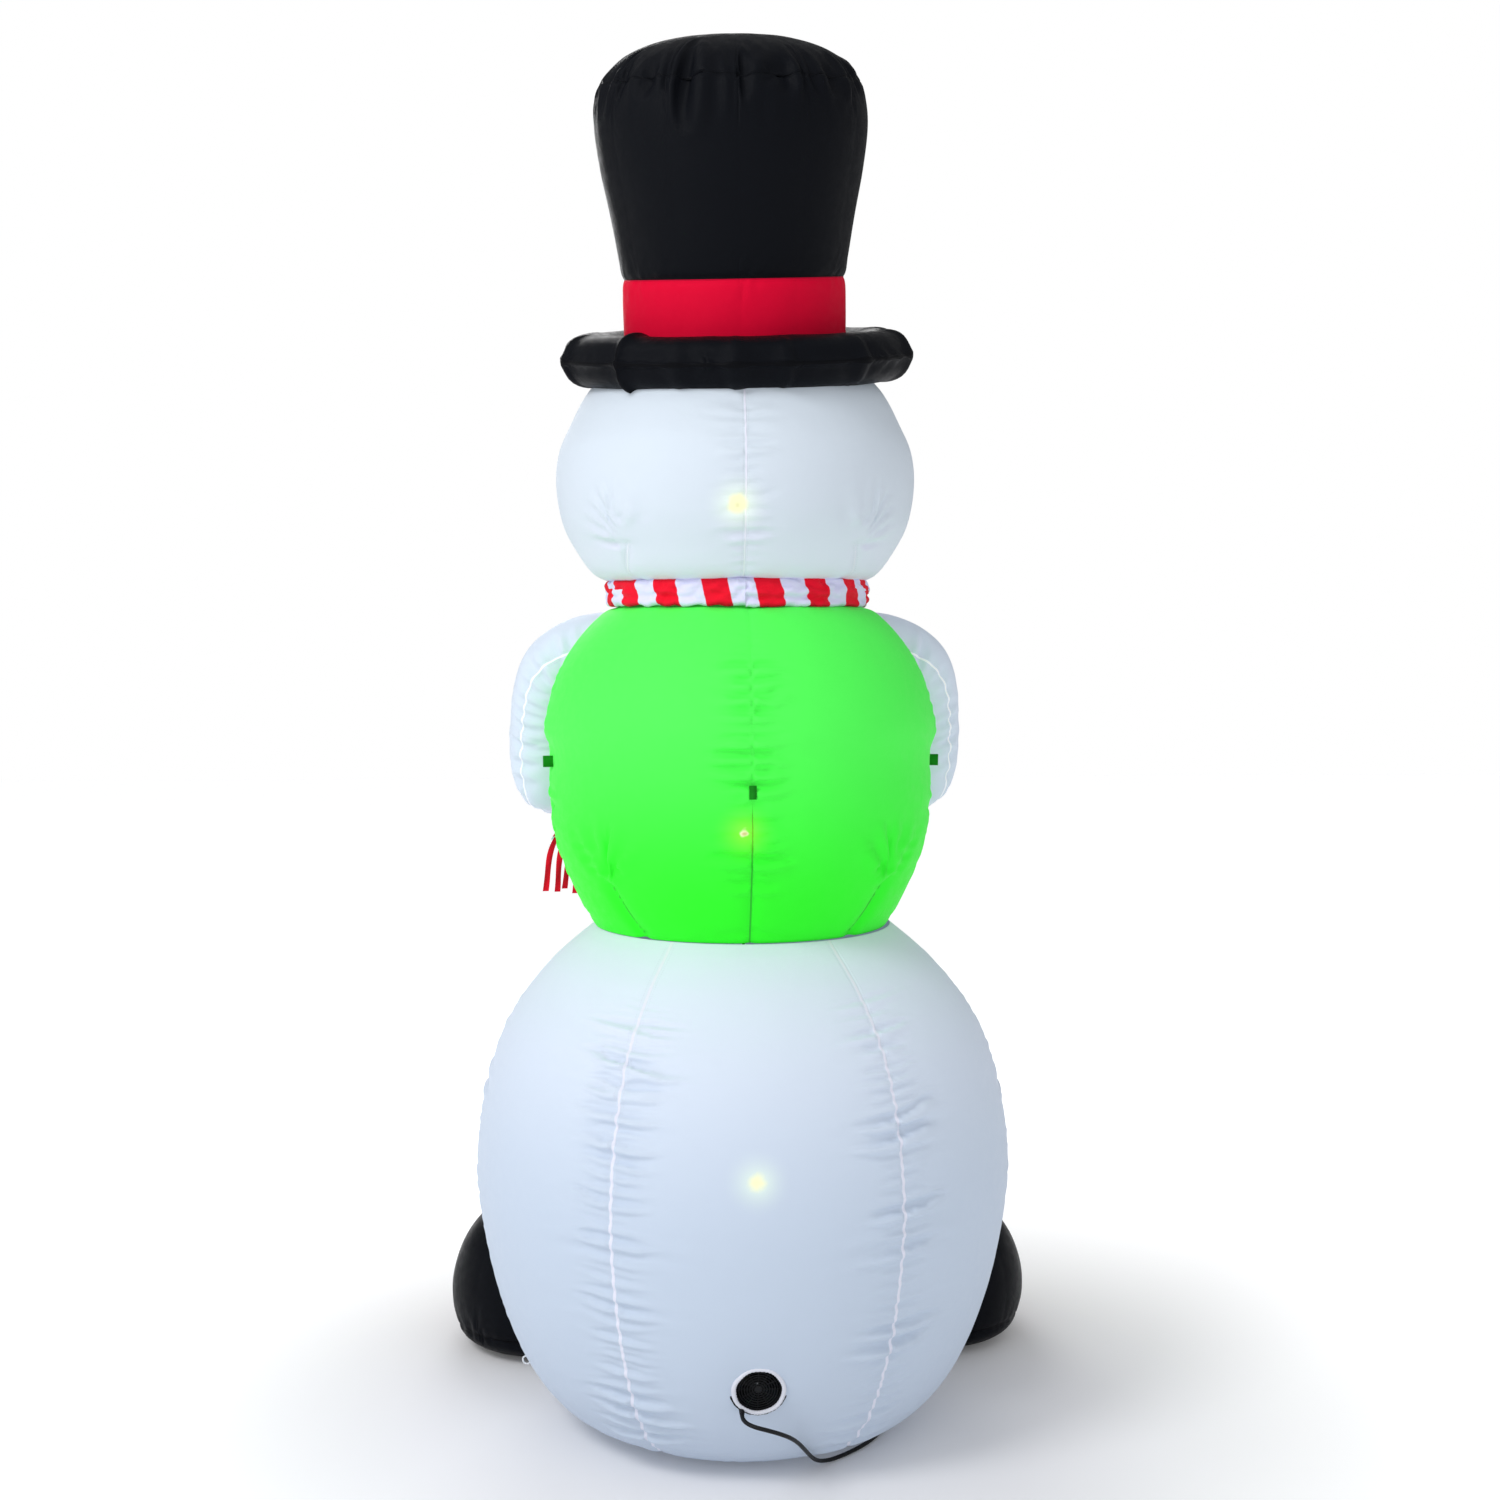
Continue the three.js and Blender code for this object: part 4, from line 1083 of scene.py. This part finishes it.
def make_nose():
    place = on_surface(HEAD, 1688 * MM, math.pi, HEAD_SHIFT, 0.4 * MM)
    skin = Skin([(40, 0), (41.5, 22), (37, 55), (30, 85), (20, 128), (9, 160), (3, 171)], seams=[0, math.pi],
                dense=[deg(90), -deg(90)], spacing=2.6 * MM, per_gap=12)
    skin.pucker(91, groove=0.0015, bulge=0.001, far=0.01, reach=0.02)
    rng = np.random.default_rng(92)
    for _ in range(9):
        angle, at = rng.uniform(0, TURN), rng.uniform(0.02, 0.15)
        away = np.hypot(skin.around(angle) / 2.5, skin.along - at)
        skin.out -= 0.0012 * bell(away, 0.0035)
    skin.piece("carrot_nose_cloth", carrot_cloth, skin.settle(place, cap=0.003), cap=True,
               slot="carrot_nylon", replaces=["carrot_nose"])


make_nose()


# ---------- tether tabs and loops ----------
def band(parts, path, width, thickness, matrix):
    """A flat strap that runs round a closed path in its YZ plane, with its width along X."""
    path = np.asarray(path, float)
    ahead = np.roll(path, -1, axis=0) - np.roll(path, 1, axis=0)
    out = np.stack([0 * ahead[:, 0], ahead[:, 2], -ahead[:, 1]], -1)
    out /= np.linalg.norm(out, axis=1, keepdims=True)
    side = np.array([width / 2, 0, 0])
    corners = [(-1, -1), (1, -1), (1, 1), (-1, 1)]
    points = np.stack([path + s * side + 0.5 * o * thickness * out for s, o in corners], 1)
    faces = grid_faces(len(path) + 1, 4)
    faces = [[v % (4 * len(path)) for v in face] for face in faces]
    parts.add(points, faces, matrix)


def stadium(length, height, count=28):
    """A closed path round a flattened loop, in the YZ plane."""
    a = full_turn(count)
    y = np.sign(np.cos(a)) * (length - height) / 2 + np.cos(a) * height / 2
    return np.stack([0 * a, y, np.sin(a) * height / 2], -1)


webbing = moulded("green webbing", (0.006, 0.20, 0.008), 0.7, 700, 0.0003, **{"Specular IOR Level": 0.1})
loop_cord = moulded("white cord", (0.78, 0.80, 0.83), 0.6, 1200, 0.0003)
for word, degrees, height in (("back", 0, 1158), ("left", 83, 1190), ("right", -83, 1190)):
    parts = Parts()
    if degrees:  # sewn into a side seam, so it stands out from it
        place = on_surface(VEST, height * MM, deg(degrees), VEST_SHIFT, 5.5 * MM)
        place = place @ Matrix(((0, 0, 1), (1, 0, 0), (0, 1, 0))).to_4x4()
        band(parts, stadium(17 * MM, 2.6 * MM), 20 * MM, 0.9 * MM, place)
        parts.block((17 * MM, 0.6 * MM, 0.5 * MM), (0, 0, 1.7 * MM), place, 0.1 * MM)
    else:
        place = on_surface(VEST, height * MM, 0, VEST_SHIFT, 3.4 * MM)
        band(parts, stadium(22 * MM, 6.0 * MM), 12 * MM, 0.9 * MM, place)
        for row in (2.5, 5.5, 8.5):
            parts.block((9.5 * MM, 0.6 * MM, 0.5 * MM), (0, row * MM, 3.5 * MM), place, 0.1 * MM)
    parts.piece(f"tether_tab_{word}_strap", webbing, slot="green_webbing",
               replaces=[f"tether_tab_{word}"])
for word, degrees in (("left", 88), ("right", -88)):
    parts = Parts()
    place = on_surface(BALL, 108 * MM, deg(degrees), 0, 0.4 * MM)
    a = full_turn(28)
    narrow = 0.62 + 0.38 * np.clip(np.sin(a) + 0.5, 0, 1)
    path = np.stack([0 * a, 8.5 * MM * np.cos(a) * narrow, (10 + 8.5 * np.sin(a)) * MM], -1)
    parts.tube(path, 1.5 * MM, 10, place, closed=True)
    parts.block((11 * MM, 15 * MM, 1.6 * MM), (0, 0, 0.6 * MM), place, 0.5 * MM)
    parts.piece(f"tether_loop_{word}_cord", loop_cord, slot="white_cord",
               replaces=[f"tether_loop_{word}"])


# ---------- fan inlet ----------
def make_inlet():
    """A gathered fabric collar round the intake, and the grille inside it."""
    collar = Parts()
    profile = [(41, -7), (38.4, -2), (37.4, 2), (38.4, 4.8), (40.6, 5.6), (43, 4.6), (44.6, 1.4), (45, -3)]

    def pleats(angle, height):
        lift = np.clip((height + 7 * MM) / 0.010, 0, 1)
        puff = 1.6 * np.cos(angle + deg(150)) * (height > 1.0 * MM)
        fine = 0.35 * np.sin(46 * angle + 3 * np.sin(3 * angle))
        return (fine + 0.4 * np.sin(7 * angle + 1) + puff) * MM * lift

    collar.lathe(np.array(profile) * MM, 220, INLET, pleats)
    collar.piece("inlet_collar_cloth", collar_cloth, slot="collar_fabric",
               replaces=["inlet_collar"])
    grille = Parts()
    for k in range(8):
        r = (36.2 - 4.4 * k) * MM
        a = full_turn(72)
        path = np.stack([r * np.cos(a), r * np.sin(a), 0 * a - 4.2 * MM], -1)
        grille.tube(path, 0.85 * MM, 8, INLET, closed=True)
    for k in range(12):
        turn = INLET @ Matrix.Rotation(k * TURN / 12, 4, "Z")
        grille.block((30 * MM, 1.4 * MM, 1.6 * MM), (21.5 * MM, 0, -5.2 * MM), turn, 0.3 * MM)
    grille.lathe(np.array([(0.5, -6), (7, -6), (7, -4), (5.5, -3.5), (0.5, -3.4)]) * MM, 32, INLET)
    grille.piece("intake_grille_wire", fan_plastic, slot="fan_plastic",
               replaces=["intake_grille"])
    relief = Parts()
    profile = [(0.5, -8), (4.6, -8), (4.6, 1.6)]
    for k in range(4):
        z, r = 2.2 + 2.9 * k, 4.5 - 0.12 * k
        profile += [(r - 0.6, z), (r - 0.6, z + 0.7), (r, z + 1.0), (r, z + 2.2), (r - 0.6, z + 2.5)]
    profile += [(3.7, 14), (0.5, 14)]
    relief.lathe(np.array(profile) * MM, 32, INLET @ Matrix.Translation((27 * MM, 33.5 * MM, 0)))
    relief.piece("strain_relief_ribs", rubber, slot="fan_plastic",
               replaces=["strain_relief"])


fan_plastic = moulded("black fan plastic", (0.006, 0.0065, 0.008), 0.42, **{"Specular IOR Level": 0.2})
rubber = moulded("lead sheath", (0.006, 0.0065, 0.008), 0.5, 1500, 0.00004, **{"Specular IOR Level": 0.2})
steel = moulded("motor steel", (0.52, 0.54, 0.57), 0.32, 600, 0.00005, 1.0)
bronze = moulded("bronze", (0.62, 0.38, 0.16), 0.38, 600, 0.00005, 1.0)
lens = moulded("lamp lens", (0.95, 0.94, 0.82), 0.25, 300, 0.00005)
collar_cloth = moulded("collar cloth", (0.68, 0.70, 0.78), 0.8, 420, 0.0004, **{"Specular IOR Level": 0.15})
make_inlet()
NODE_FINISHES = {
    **dict.fromkeys(("intake_bezel", "fan_housing", "motor_spider", "impeller"), fan_plastic),
    **dict.fromkeys(("motor_end_cap", "lamp_base_ball", "lamp_base_vest", "lamp_base_head"), fan_plastic),
    **dict.fromkeys(("motor_shaft", "motor_can"), steel),
    **dict.fromkeys(("armature", "front_bush", "rear_bush"), bronze),
    **dict.fromkeys(("lamp_lens_ball", "lamp_lens_vest", "lamp_lens_head"), lens),
}
for name, finish in NODE_FINISHES.items():
    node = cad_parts[name]
    if node.material_slots:
        for place in node.material_slots:
            place.material = finish
    else:
        node.data.materials.append(finish)


# ---------- power lead, plug and lamp cable ----------
CORD_ROUTE = [  # the CAD's points, with two in place of its first one
    (27, 421.5, 154.6), (27, 431, 152.3), (25.1, 442.2, 150.4), (19.6, 452.2, 148.7), (11.2, 459.5, 147),
    (0.8, 463.3, 144.8), (-10.8, 463.2, 141.5), (-24, 458.2, 135.6), (-37, 448, 127.2), (-49, 433.8, 116.8),
    (-59.5, 417, 104.6), (-68.5, 398.5, 91), (-76.5, 379, 76.5), (-84, 358.5, 61.5), (-91.5, 337.5, 46.5),
    (-99.5, 316.5, 32), (-109, 296, 19.5), (-121, 277, 10.5), (-136, 260, 5.4), (-153, 244, 3.8),
    (-171, 228, 3.8), (-193, 205, 3.8), (-214, 178, 3.8), (-234, 143, 3.8), (-252, 100, 3.8), (-267, 52, 3.8),
    (-278, 0, 3.8), (-279, -50, 3.8), (-272, -98, 3.8), (-256, -144, 3.8), (-231, -188, 3.8),
    (-197, -232, 3.8), (-160, -270, 3.8), (-118, -302, 3.8), (-78, -319, 3.8), (-50, -321.5, 3.8),
]
CORD_RADIUS, CORD_LENGTH = 3.5, 1.83
COIL = np.array((-50, -372))
COIL_INNER, COIL_OUTER, LAYER = 34.7, 42.4, 7.2
COIL_ENTRY = 50.5  # how far from the coil's centre the route ends
COIL_TURNS = 3.5


def cord_path():
    """The lead's route to the coil, its turns, and the rise to the plug that lies on them."""
    turns = np.linspace(0, COIL_TURNS, 240)[1:]
    out = COIL_OUTER - COIL_INNER
    radius = (COIL_ENTRY - (COIL_ENTRY - COIL_OUTER) * ease(turns / 0.3) - out * ease((turns - 0.95) / 0.25)
              + out * ease((turns - 2.6) / 0.25))
    height = 3.8 + LAYER * ease((turns - 1.8) / 0.25) + 8.2 * ease((turns - 3.05) / 0.40)
    height = height + 3.8 * ease((turns - 3.25) / 0.25)
    radius = radius - 3.9 * ease((turns - 3.2) / 0.3)
    angle = turns * TURN
    coil = np.stack([COIL[0] + radius * np.sin(angle), COIL[1] + radius * np.cos(angle), height], -1)
    route = spline(CORD_ROUTE, 300)
    return np.vstack([route, coil]) * MM


def make_cord():
    path = cord_path()
    lead = curve_object("power_lead", path, CORD_RADIUS * MM, rubber, slot="lead_sheath",
                        replaces=["power_cord", "cord_coil"])
    place = Matrix.Translation((-50 * MM, -410.5 * MM, 23 * MM)) @ Matrix.Rotation(math.pi, 4, "Z")
    plug = Parts()
    plug.block((27 * MM, 23 * MM, 16 * MM), (20.5 * MM, 0, 0), place, 2.6 * MM)
    plug.lathe(np.array([(0.5, 0), (4.6, 0), (5.2, 3), (5.6, 8), (0.5, 8)]) * MM, 24,
               place @ Matrix.Rotation(math.pi / 2, 4, "Y"))
    for k in range(4):
        for face in (-1, 1):
            plug.block((1.6 * MM, 17 * MM, 0.8 * MM), ((13 + 4 * k) * MM, 0, face * 8 * MM), place, 0.3 * MM)
    add_plug = plug.piece("plug_body", rubber, slot="lead_sheath", replaces=["power_plug"])
    blades = Parts()
    for y in (-6.4, 6.4):
        blades.block((18 * MM, 1.5 * MM, 6.3 * MM), (42 * MM, y * MM, 0), place, 0.5 * MM)
        blades.tube([(46 * MM + 1.7 * MM * math.cos(a), (y + 0.05) * MM, 1.7 * MM * math.sin(a))
                     for a in full_turn(16)], 0.8 * MM, 6, place, closed=True)
    add_blades = blades.piece("plug_blades", steel, slot="motor_steel")
    tie = Parts()
    at = Matrix.Translation((COIL[0] * MM, COIL[1] * MM, 0)) @ Matrix.Rotation(deg(200), 4, "Z")
    a = full_turn(40)
    ring = np.stack([0 * a, (38.55 + 9.0 * np.sign(np.cos(a)) * np.abs(np.cos(a)) ** 0.6) * MM,
                     (8.6 + 7.7 * np.sign(np.sin(a)) * np.abs(np.sin(a)) ** 0.6) * MM], -1)
    tie.tube(ring, 0.8 * MM, 8, at, closed=True)
    for lean in (-1, 1):
        end = [(0, 38.5 * MM, 16.2 * MM), (lean * 4 * MM, 40 * MM, 18 * MM),
               (lean * 11 * MM, 43 * MM, 17.2 * MM)]
        tie.tube(spline(end, 12), 0.8 * MM, 8, at)
    add_tie = tie.piece("coil_tie", fan_plastic, slot="lead_sheath")


make_cord()
CABLE_ROUTE = [(30, 335, 280), (14, 375, 360), (7, 408, 460), (5, 415, 546), (8, 398, 640),
               (10, 330, 770), (12, 222, 890), (14, 232, 1000), (17, 281, 1091), (18, 262, 1220),
               (21, 190, 1400), (23, 165, 1484), (25, 200, 1560), (27, 253, 1629)]
curve_object("lamp_cable_lead", spline(np.array(CABLE_ROUTE) * MM, 180), 2.4 * MM, rubber, slot="lead_sheath",
             replaces=["lamp_cable"])


# ---------- base panel ----------
def make_base():
    parts = Parts()
    profile = [(3, 0.4), (100, 0.4), (196, 0.5), (203, 1.2), (203, 2.2), (196, 2.6), (120, 2.4), (3, 2.4)]
    parts.lathe(np.array(profile) * MM, 144, None, lambda a, z: 0.4 * MM * np.sin(36 * a + 2 * np.sin(5 * a)))
    parts.piece("base_panel_cloth", arm_white, slot="white_nylon",
               replaces=["base_panel"])


make_base()


# ---------- deflation zipper ----------
SLIDER_ANGLE = deg(-13)


def make_zipper():
    """A woven tape that follows the skin, with a row of moulded teeth, and its slider and pull."""
    radius, slope = radius_at(BALL, ZIPPER_HEIGHT)
    columns, rows = 90, 9
    turn = math.pi + np.linspace(-ZIPPER_HALF, ZIPPER_HALF, columns)[None]
    up = np.linspace(-15, 15, rows)[:, None] * MM
    lift = 1.2 * MM + 0.25 * MM * np.sin(90 * turn)
    r = radius + up * math.sin(slope) + lift * math.cos(slope)
    z = ZIPPER_HEIGHT + up * math.cos(slope) - lift * math.sin(slope)
    shape = np.stack([r * np.sin(turn), r * np.cos(turn), z + 0 * turn], -1)
    values = {"along": z + 0 * turn, "around": radius * turn + 0 * z, "across": 0 * r + 0.004}
    faces = grid_faces(rows, columns, closed=False)
    tape = build_mesh("zipper_tape_cloth", shape, faces, zipper_cloth, values)
    add_object("zipper_tape_cloth", tape, slot="zipper_cloth", replaces=["zipper_tape"])
    teeth = Parts()
    count = int(2 * ZIPPER_HALF * radius / (2.4 * MM))
    for k in range(count):
        for side in (-1, 1):
            angle = math.pi + ZIPPER_HALF - (k + 0.5 + 0.25 * side) * 2 * ZIPPER_HALF / count
            place = on_surface(BALL, ZIPPER_HEIGHT, angle, 0, 2.2 * MM)
            teeth.block((0.9 * MM, 3.6 * MM, 1.5 * MM), (0, side * 0.9 * MM, 0), place, 0.25 * MM)
    teeth.piece("zipper_teeth", fan_plastic, slot="zipper_cloth")
    place = on_surface(BALL, ZIPPER_HEIGHT, math.pi - SLIDER_ANGLE, 0, (3.4 + 0.4 + 1.2) * MM)
    slider = Parts()
    slider.block((10 * MM, 8 * MM, 1.3 * MM), (0, 0, 0.65 * MM), place, 0.5 * MM)
    slider.block((7 * MM, 5 * MM, 1.0 * MM), (-0.8 * MM, 0, 1.7 * MM), place, 0.4 * MM)
    arch = [(-4 * MM, 0, 1.4 * MM), (-2 * MM, 0, 3.0 * MM), (2 * MM, 0, 3.0 * MM), (4 * MM, 0, 1.4 * MM)]
    slider.tube(spline(arch, 16), 0.8 * MM, 8, place)
    slider.piece("zipper_slider_body", steel, body="slider", slot="zipper_metal",
                 replaces=["zipper_slider"])
    pull = Parts()
    hang = Matrix.Translation(place.translation) @ Matrix.Rotation(SLIDER_ANGLE, 4, "Z")
    eye = [(3.0 * MM * math.cos(a), -6.5 * MM, -3.2 * MM + 3.0 * MM * math.sin(a)) for a in full_turn(24)]
    pull.tube(eye, 0.8 * MM, 8, hang, closed=True)
    pull.block((5.4 * MM, 1.6 * MM, 8 * MM), (0, -6.5 * MM, -10 * MM), hang, 0.5 * MM)
    pull.block((6.8 * MM, 1.9 * MM, 12 * MM), (0, -6.5 * MM, -19.6 * MM), hang, 0.7 * MM)
    pull.piece("zipper_pull_tab", steel, body="pull", slot="zipper_metal", replaces=["zipper_pull"])


zipper_cloth = fabric("zipper cloth", (0.62, 0.66, 0.72), (0.6, 0.6, 0.65), seam=0.0003)
make_zipper()


# ---------- floor and lights ----------
def make_floor():
    """A white floor that gives off more light farther from the snowman, so that it meets the background."""
    mesh = bpy.data.meshes.new("floor")
    mesh.from_pydata([(-15, -15, 0), (15, -15, 0), (15, 15, 0), (-15, 15, 0)], [], [(0, 1, 2, 3)])
    floor = bpy.data.objects.new("floor", mesh)
    scene.collection.objects.link(floor)
    floor.location.z = -0.5 * MM
    paint = Paint("floor", (0.82, 0.82, 0.84), 0.9, **{"Specular IOR Level": 0.0})
    far = paint.node("ShaderNodeVectorMath", {"operation": "LENGTH"})
    paint.tree.links.new(paint.where, far.inputs[0])
    away = paint.span(far.outputs["Value"], 0.4, 1.7)
    paint.set(paint.shader, {
        "Base Color": paint.mix(paint.noise(1.5), (0.81, 0.81, 0.83), (0.83, 0.83, 0.85)),
        "Emission Color": paint.mix(away, (0.04, 0.04, 0.04), (0.5, 0.5, 0.5)),
        "Emission Strength": 1.0,
    })
    mesh.materials.append(paint.material)


def area_light(name, place, target, size, power, colour):
    data = bpy.data.lights.new(name, "AREA")
    data.shape = "DISK"
    data.size, data.energy, data.color = size, power, colour
    light = bpy.data.objects.new(name, data)
    light.location = place
    light.rotation_euler = (Vector(target) - Vector(place)).to_track_quat("-Z", "Y").to_euler()
    scene.collection.objects.link(light)


def make_world():
    """White to look at; as a light, dimmer towards the snowman's right and its front."""
    world = bpy.data.worlds.new("world")
    world.use_nodes = True
    tree = world.node_tree

    def value(kind, *inputs):
        node = tree.nodes.new(kind)
        for socket, given in zip(node.inputs, inputs):
            if isinstance(given, bpy.types.NodeSocket):
                tree.links.new(given, socket)
            else:
                socket.default_value = given
        return node

    where = value("ShaderNodeSeparateXYZ", tree.nodes.new("ShaderNodeTexCoord").outputs["Generated"]).outputs
    side = value("ShaderNodeMapRange", where["X"], -1.0, 1.0, 0.66, 0.97).outputs[0]
    depth = value("ShaderNodeMapRange", where["Y"], -0.90, 0.40, 0.28, 1.0).outputs[0]
    around = value("ShaderNodeMath", side, depth)
    around.operation = "MULTIPLY"
    node = value("ShaderNodeMix", tree.nodes.new("ShaderNodeLightPath").outputs["Is Camera Ray"])
    tree.links.new(around.outputs[0], node.inputs[2])
    node.inputs[3].default_value = 1.0
    background = tree.nodes["Background"]
    background.inputs["Color"].default_value = (1.0, 1.0, 1.0, 1)
    tree.links.new(node.outputs[0], background.inputs["Strength"])
    scene.world = world


make_floor()
make_world()
area_light("key", (2.8, 2.6, 4.2), (0, 0, 1.2), 1.8, 95, (1.0, 1.0, 1.0))
area_light("front", (0.5, -4.0, 3.0), (0, 0, 1.1), 2.6, 55, (1.0, 1.0, 1.0))
